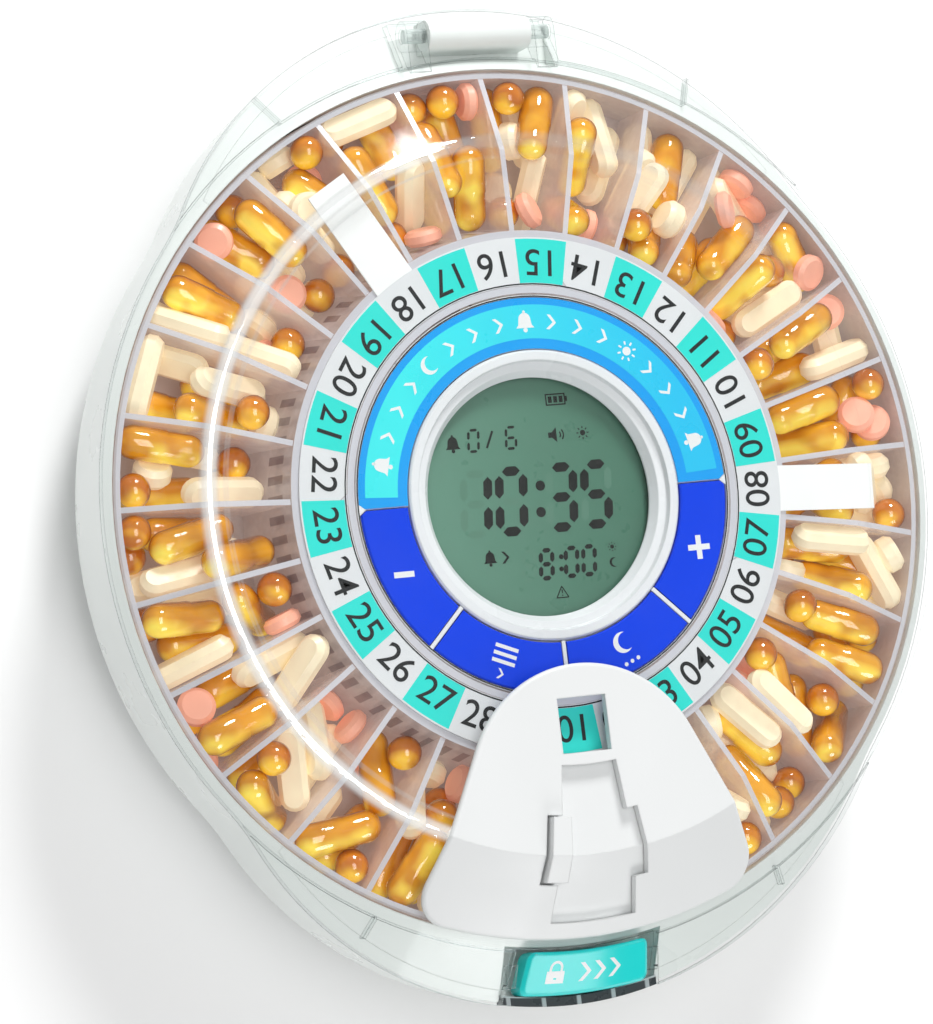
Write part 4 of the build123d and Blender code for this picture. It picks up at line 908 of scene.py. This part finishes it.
# ---------------------------------------- pills
# each kind: length, radius, collision form and mass in the settling run
KINDS = {
    "softgel": (19.0, 3.7, "CAPSULE", 1.0),
    "caplet": (18.0, 3.0, "CAPSULE", 0.8),
    "ball": (7.4, 3.7, "SPHERE", 0.4),
    "tablet": (3.6, 4.1, "CYLINDER", 0.4),
}
MIX = ["softgel"] * 4 + ["caplet"] * 3 + ["ball"] * 2 + ["tablet"] * 2
LONG_KINDS = ("softgel", "caplet")
SIM_SCALE = 0.1              # settling units per millimetre
SIM_FRAMES = 150
DROP_STEP = 9.0              # pills start one above the other
WALL_RISE = 30.0             # the walls stand higher while the pills fall
LID_ROOM = 2.6               # the lid's inner face and a little air
DIVIDER_TOP = node_top("tray_dividers")
PILL_SEED = 4
CAPLET = (18.6, 6.4, 4.8)    # length, width, thickness
BALL = (7.6, 3.7)            # length, radius
CREAM_TABLET = (4.6, 4.2)    # thickness, radius
PINK_TABLET = (3.2, 4.1)
PINK_SHARE = 0.6


def settle_bowl():
    """Hub, floor and outer wall of the tray as one sheet for the settling run."""
    profile = [(HUB_TOP, RING_TOP + WALL_RISE), (HUB_TOP, RING_TOP), (HUB_FOOT, FLOOR_TOP),
               (TRAY_WALL_INNER, FLOOR_TOP), (TRAY_WALL_INNER, RING_TOP + WALL_RISE)]
    segments = PLACES * 4
    verts = []
    for i in range(segments):
        angle = 2 * math.pi * i / segments
        verts += [(r * math.cos(angle) * SIM_SCALE, r * math.sin(angle) * SIM_SCALE, z * SIM_SCALE)
                  for r, z in profile]
    count = len(profile)
    faces = []
    for i in range(segments):
        near, far = i * count, (i + 1) % segments * count
        faces += [(near + k, far + k, far + k + 1, near + k + 1) for k in range(count - 1)]
    data = bpy.data.meshes.new("bowl")
    data.from_pydata(verts, [], faces)
    return data


def sim_object(name, data, kind, form, mass=1.0):
    made = in_scene(name, data)
    bpy.context.view_layer.objects.active = made
    bpy.ops.rigidbody.object_add()
    body = made.rigid_body
    body.type = kind
    body.collision_shape = form
    body.mass = mass
    body.friction = 0.28
    body.restitution = 0.05
    body.use_margin = True
    body.collision_margin = 0.002
    body.linear_damping = 0.1
    body.angular_damping = 0.3
    return made


def settle_dividers():
    height = RING_TOP + WALL_RISE - FLOOR_TOP + 2
    length = TRAY_WALL_INNER - HUB_TOP + 2
    middle = (TRAY_WALL_INNER + HUB_TOP) / 2
    cube = bmesh.new()
    bmesh.ops.create_cube(cube, size=1.0)
    data = mesh_from(cube, "cube")
    made = []
    for place in range(PLACES):
        angle = FRONT + (place + 0.5) * STEP
        wall = sim_object("wall", data, "PASSIVE", "BOX")
        wall.scale = Vector((length, DIVIDER_THICKNESS, height)) * SIM_SCALE
        wall.location = Vector(around(middle, angle, FLOOR_TOP - 2 + height / 2)) * SIM_SCALE
        wall.rotation_euler = (0, 0, angle)
        made.append(wall)
    return made


def proxy(kind):
    length, radius = KINDS[kind][:2]
    made = bmesh.new()
    if kind == "ball":
        bmesh.ops.create_uvsphere(made, u_segments=12, v_segments=8, radius=radius * SIM_SCALE)
    else:
        bmesh.ops.create_cone(made, cap_ends=True, segments=12, radius1=radius * SIM_SCALE,
                              radius2=radius * SIM_SCALE, depth=length * SIM_SCALE)
    return mesh_from(made, kind)


def start_places():
    """Where each pill is let go: (kind, place, turn), compartment by compartment."""
    draw = random.Random(PILL_SEED)
    width = TRAY_WALL_INNER - HUB_FOOT
    starts = []
    for compartment in range(PLACES - 1):
        angle = FRONT + compartment * STEP
        mix = list(MIX)
        for extra in ("tablet", "caplet"):
            if draw.random() < 0.5:
                mix.append(extra)
        draw.shuffle(mix)
        for level, kind in enumerate(mix):
            if kind in LONG_KINDS:
                radius = HUB_FOOT + width * (0.58 + draw.uniform(-0.1, 0.1))
                turn = (Matrix.Rotation(angle + draw.uniform(-0.35, 0.35), 3, "Z")
                        @ Matrix.Rotation(math.pi / 2 + draw.uniform(-0.3, 0.3), 3, "Y"))
            else:
                radius = HUB_FOOT + 10 + draw.random() * 16
                turn = Euler((draw.uniform(-1, 1), draw.uniform(-1, 1), draw.uniform(0, 6.28))).to_matrix()
            at = around(radius, angle, FLOOR_TOP + 6 + level * DROP_STEP)
            starts.append((kind, Vector(at), turn))
    return starts


def lid_height(radius):
    """Height of the lid's outer face."""
    fall = (radius - LID_FLAT_RADIUS) / (LID_SHOULDER_RADIUS - LID_FLAT_RADIUS)
    return LID_TOP - (LID_TOP - LID_SHOULDER_HEIGHT) * min(max(fall, 0.0), 1.0)


def fits_under_lid(kind, at, turn):
    """Both ends of a settled pill stay in the tray and clear of the lid."""
    length, radius = KINDS[kind][:2]
    reach = max(length / 2 - radius, 0.0)
    for side in (-1, 1):
        end = at + turn @ Vector((0, 0, side * reach))
        from_axis = math.hypot(end.x, end.y)
        ceiling = min(lid_height(from_axis + radius) - LID_ROOM, DIVIDER_TOP)
        if end.z + radius > ceiling or from_axis > TRAY_WALL_INNER:
            return False
    return True


def settled_places():
    """Lets the pills fall into the tray and returns where each comes to rest."""
    scene = bpy.context.scene
    starts = start_places()
    bpy.ops.rigidbody.world_add()
    world = scene.rigidbody_world
    world.substeps_per_frame = 8
    world.solver_iterations = 20
    world.point_cache.frame_start = 1
    world.point_cache.frame_end = SIM_FRAMES
    scene.frame_start = 1
    scene.frame_end = SIM_FRAMES
    scene.gravity = (0, 0, -60)
    helpers = [sim_object("bowl", settle_bowl(), "PASSIVE", "MESH")] + settle_dividers()
    proxies = {kind: proxy(kind) for kind in KINDS}
    falling = []
    for index, (kind, at, turn) in enumerate(starts):
        pill = sim_object(f"{kind}_{index}", proxies[kind], "ACTIVE", *KINDS[kind][2:])
        pill.location = at * SIM_SCALE
        pill.rotation_euler = turn.to_euler()
        falling.append((kind, pill))
    for number in range(1, SIM_FRAMES + 1):
        scene.frame_set(number)
    depsgraph = bpy.context.evaluated_depsgraph_get()
    places = []
    for kind, pill in falling:
        matrix = pill.evaluated_get(depsgraph).matrix_world.copy()
        places.append((kind, matrix.translation / SIM_SCALE, matrix.to_3x3().normalized().to_4x4()))
    bpy.ops.rigidbody.world_remove()
    for used in helpers + [pill for kind, pill in falling]:
        bpy.data.objects.remove(used)
    scene.frame_set(1)
    return [place for place in places if fits_under_lid(*place)]


def lathe(profile, segments):
    """A closed form turned about z from (radius, height) points; both ends are on the axis."""
    made = bmesh.new()
    rings = []
    for radius, height in profile[1:-1]:
        angles = [2 * math.pi * i / segments for i in range(segments)]
        rings.append([made.verts.new(around(radius, a, height)) for a in angles])
    bottom = made.verts.new((0, 0, profile[0][1]))
    top = made.verts.new((0, 0, profile[-1][1]))
    for i in range(segments):
        j = (i + 1) % segments
        made.faces.new((bottom, rings[0][j], rings[0][i]))
        made.faces.new((top, rings[-1][i], rings[-1][j]))
        for low, high in zip(rings, rings[1:]):
            made.faces.new((low[i], low[j], high[j], high[i]))
    return made


def caplet_form(length, width, thickness):
    """A long tablet: a plan with round ends, a straight land and bevelled faces."""
    steps = 8
    bevel = 1.1
    made = bmesh.new()
    rings = []
    for inset, height in ((bevel, -1), (0.25, -0.52), (0, -0.40), (0, 0.40), (0.25, 0.52), (bevel, 1)):
        radius = width / 2 - inset
        centre = length / 2 - width / 2
        plan = arc_points(radius, -math.pi / 2, math.pi / 2, steps, (centre, 0))
        plan += arc_points(radius, math.pi / 2, 3 * math.pi / 2, steps, (-centre, 0))
        rings.append([made.verts.new((y, height * thickness / 2, x)) for x, y in plan])
    for low, high in zip(rings, rings[1:]):
        join_loops(made, low, high)
    made.faces.new(rings[0])
    made.faces.new(rings[-1])
    bmesh.ops.recalc_face_normals(made, faces=made.faces)
    return made


def two_part_capsule(length, radius):
    """A capsule with round ends, whose longer half slips over the other."""
    steps = 8
    quarter = [math.pi / 2 * i / steps for i in range(steps + 1)]
    inner = radius * 0.95
    lower = [(inner * math.sin(a), -length / 2 + inner - inner * math.cos(a)) for a in quarter]
    upper = [(radius * math.sin(a), length / 2 - radius + radius * math.cos(a)) for a in reversed(quarter)]
    lip = -length * 0.06
    return lathe(lower + [(inner, lip), (radius, lip + 0.25)] + upper, 24)


def ball_form(length, radius):
    """A round soft capsule, a little longer than wide."""
    steps = 16
    turns = [math.pi * i / steps for i in range(steps + 1)]
    return lathe([(radius * math.sin(t), -length / 2 * math.cos(t)) for t in turns], 24)


def tablet_form(length, radius):
    """A round tablet: flat faces with a bevel and a straight land."""
    flat = radius - 0.9
    land = length * 0.24
    rise = length / 2
    return lathe([(0, -rise), (flat, -rise), (radius - 0.15, -land - 0.15), (radius, -land), (radius, land),
                  (radius - 0.15, land + 0.15), (flat, rise), (0, rise)], 28)


def fill_tray():
    """The pills, one joined piece per kind."""
    places = settled_places()
    draw = random.Random(PILL_SEED + 1)
    cream = pressed_powder("pill_cream", colour(255, 240, 206))
    kinds = {
        "pill_softgels": ("softgel", two_part_capsule(*KINDS["softgel"][:2]), softgel_skin(
            "pill_amber", colour(128, 56, 2), colour(236, 156, 14), colour(255, 226, 84))),
        "pill_caplets": ("caplet", caplet_form(*CAPLET), cream),
        "pill_rounds_amber": ("ball", ball_form(*BALL), softgel_skin(
            "pill_dark_amber", colour(118, 48, 4), colour(212, 118, 10), colour(252, 200, 52))),
        "pill_tablets_cream": ("tablet", tablet_form(*CREAM_TABLET), cream),
        "pill_tablets_pink": ("tablet", tablet_form(*PINK_TABLET), pressed_powder(
            "pill_pink", colour(255, 184, 158))),
    }
    tablets = [index for index, place in enumerate(places) if place[0] == "tablet"]
    pink = {index for index in tablets if draw.random() < PINK_SHARE}
    for name, (kind, form, look) in kinds.items():
        single = mesh_from(form, name + "_one")
        joined = bmesh.new()
        for index, (placed_kind, at, turn) in enumerate(places):
            if placed_kind != kind:
                continue
            if kind == "tablet" and (index in pink) != (name == "pill_tablets_pink"):
                continue
            copy = single.copy()
            copy.transform(Matrix.Scale(MM, 4) @ Matrix.Translation(at) @ turn)
            joined.from_mesh(copy)
            bpy.data.meshes.remove(copy)
        data = mesh_from(joined, name)
        data.materials.append(look.material)
        data.shade_smooth()
        data.set_sharp_from_angle(angle=math.radians(38))
        join_scene(data, name, "tray")


# ---------------------------------------- stage
FLOOR_HALF = 4.0
ROOM_LIGHT = 0.43
PHOTO_PLACE = (-0.34315, -0.06762, 0.83358)
PHOTO_TURN = (7.149, -21.727, -7.328)       # degrees
PHOTO_LENS = 141.06


def white_stage():
    """A large pale floor that keeps the object's shadow."""
    made = bmesh.new()
    bmesh.ops.create_grid(made, x_segments=1, y_segments=1, size=FLOOR_HALF)
    data = mesh_from(made, "floor")
    floor = in_scene("floor", data)
    paper = Look("paper", (0.95, 0.95, 0.95, 1.0), 0.9).set(Specular_IOR_Level=0.0)
    data.materials.append(paper.material)


def area_lamp(name, place, aim, width, depth, watts):
    data = bpy.data.lights.new(name, "AREA")
    data.shape = "ELLIPSE" if width == depth else "RECTANGLE"
    data.size = width
    data.size_y = depth
    data.energy = watts
    lamp = in_scene(name, data)
    lamp.location = place
    lamp.rotation_euler = (Vector(aim) - Vector(place)).to_track_quat("-Z", "Y").to_euler()


def lighting():
    """A long softbox overhead, round ones at the upper right and the front, in a pale room."""
    world = bpy.data.worlds.new("studio")
    bpy.context.scene.world = world
    world.use_nodes = True
    surface = world.node_tree.nodes["Background"]
    surface.inputs["Color"].default_value = WHITE_LIGHT
    surface.inputs["Strength"].default_value = ROOM_LIGHT
    object_middle = (0, 0, 0.03)
    area_lamp("overhead_softbox", (-0.12, -0.08, 1.2), (-0.12, -0.08, 0.0), 0.46, 0.85, watts=3.8)
    area_lamp("key_softbox", (0.26, 1.15, 0.80), object_middle, 0.40, 0.40, watts=14.0)
    area_lamp("front_softbox", (0.26, -1.12, 0.62), object_middle, 0.60, 0.60, watts=4.0)


def photo_camera():
    """The photograph's camera: above and to the left, with the latch at the lower right."""
    data = bpy.data.cameras.new("photo")
    data.lens = PHOTO_LENS
    data.sensor_width = 36.0
    camera = in_scene("photo", data)
    camera.location = PHOTO_PLACE
    camera.rotation_euler = [math.radians(angle) for angle in PHOTO_TURN]
    bpy.context.scene.camera = camera


dress_nodes()
number_cells()
ring_numbers()
banner_print()
key_prints()
panel_print()
latch_print()
fill_tray()
white_stage()
lighting()
photo_camera()
bpy.context.scene.view_settings.view_transform = "Standard"
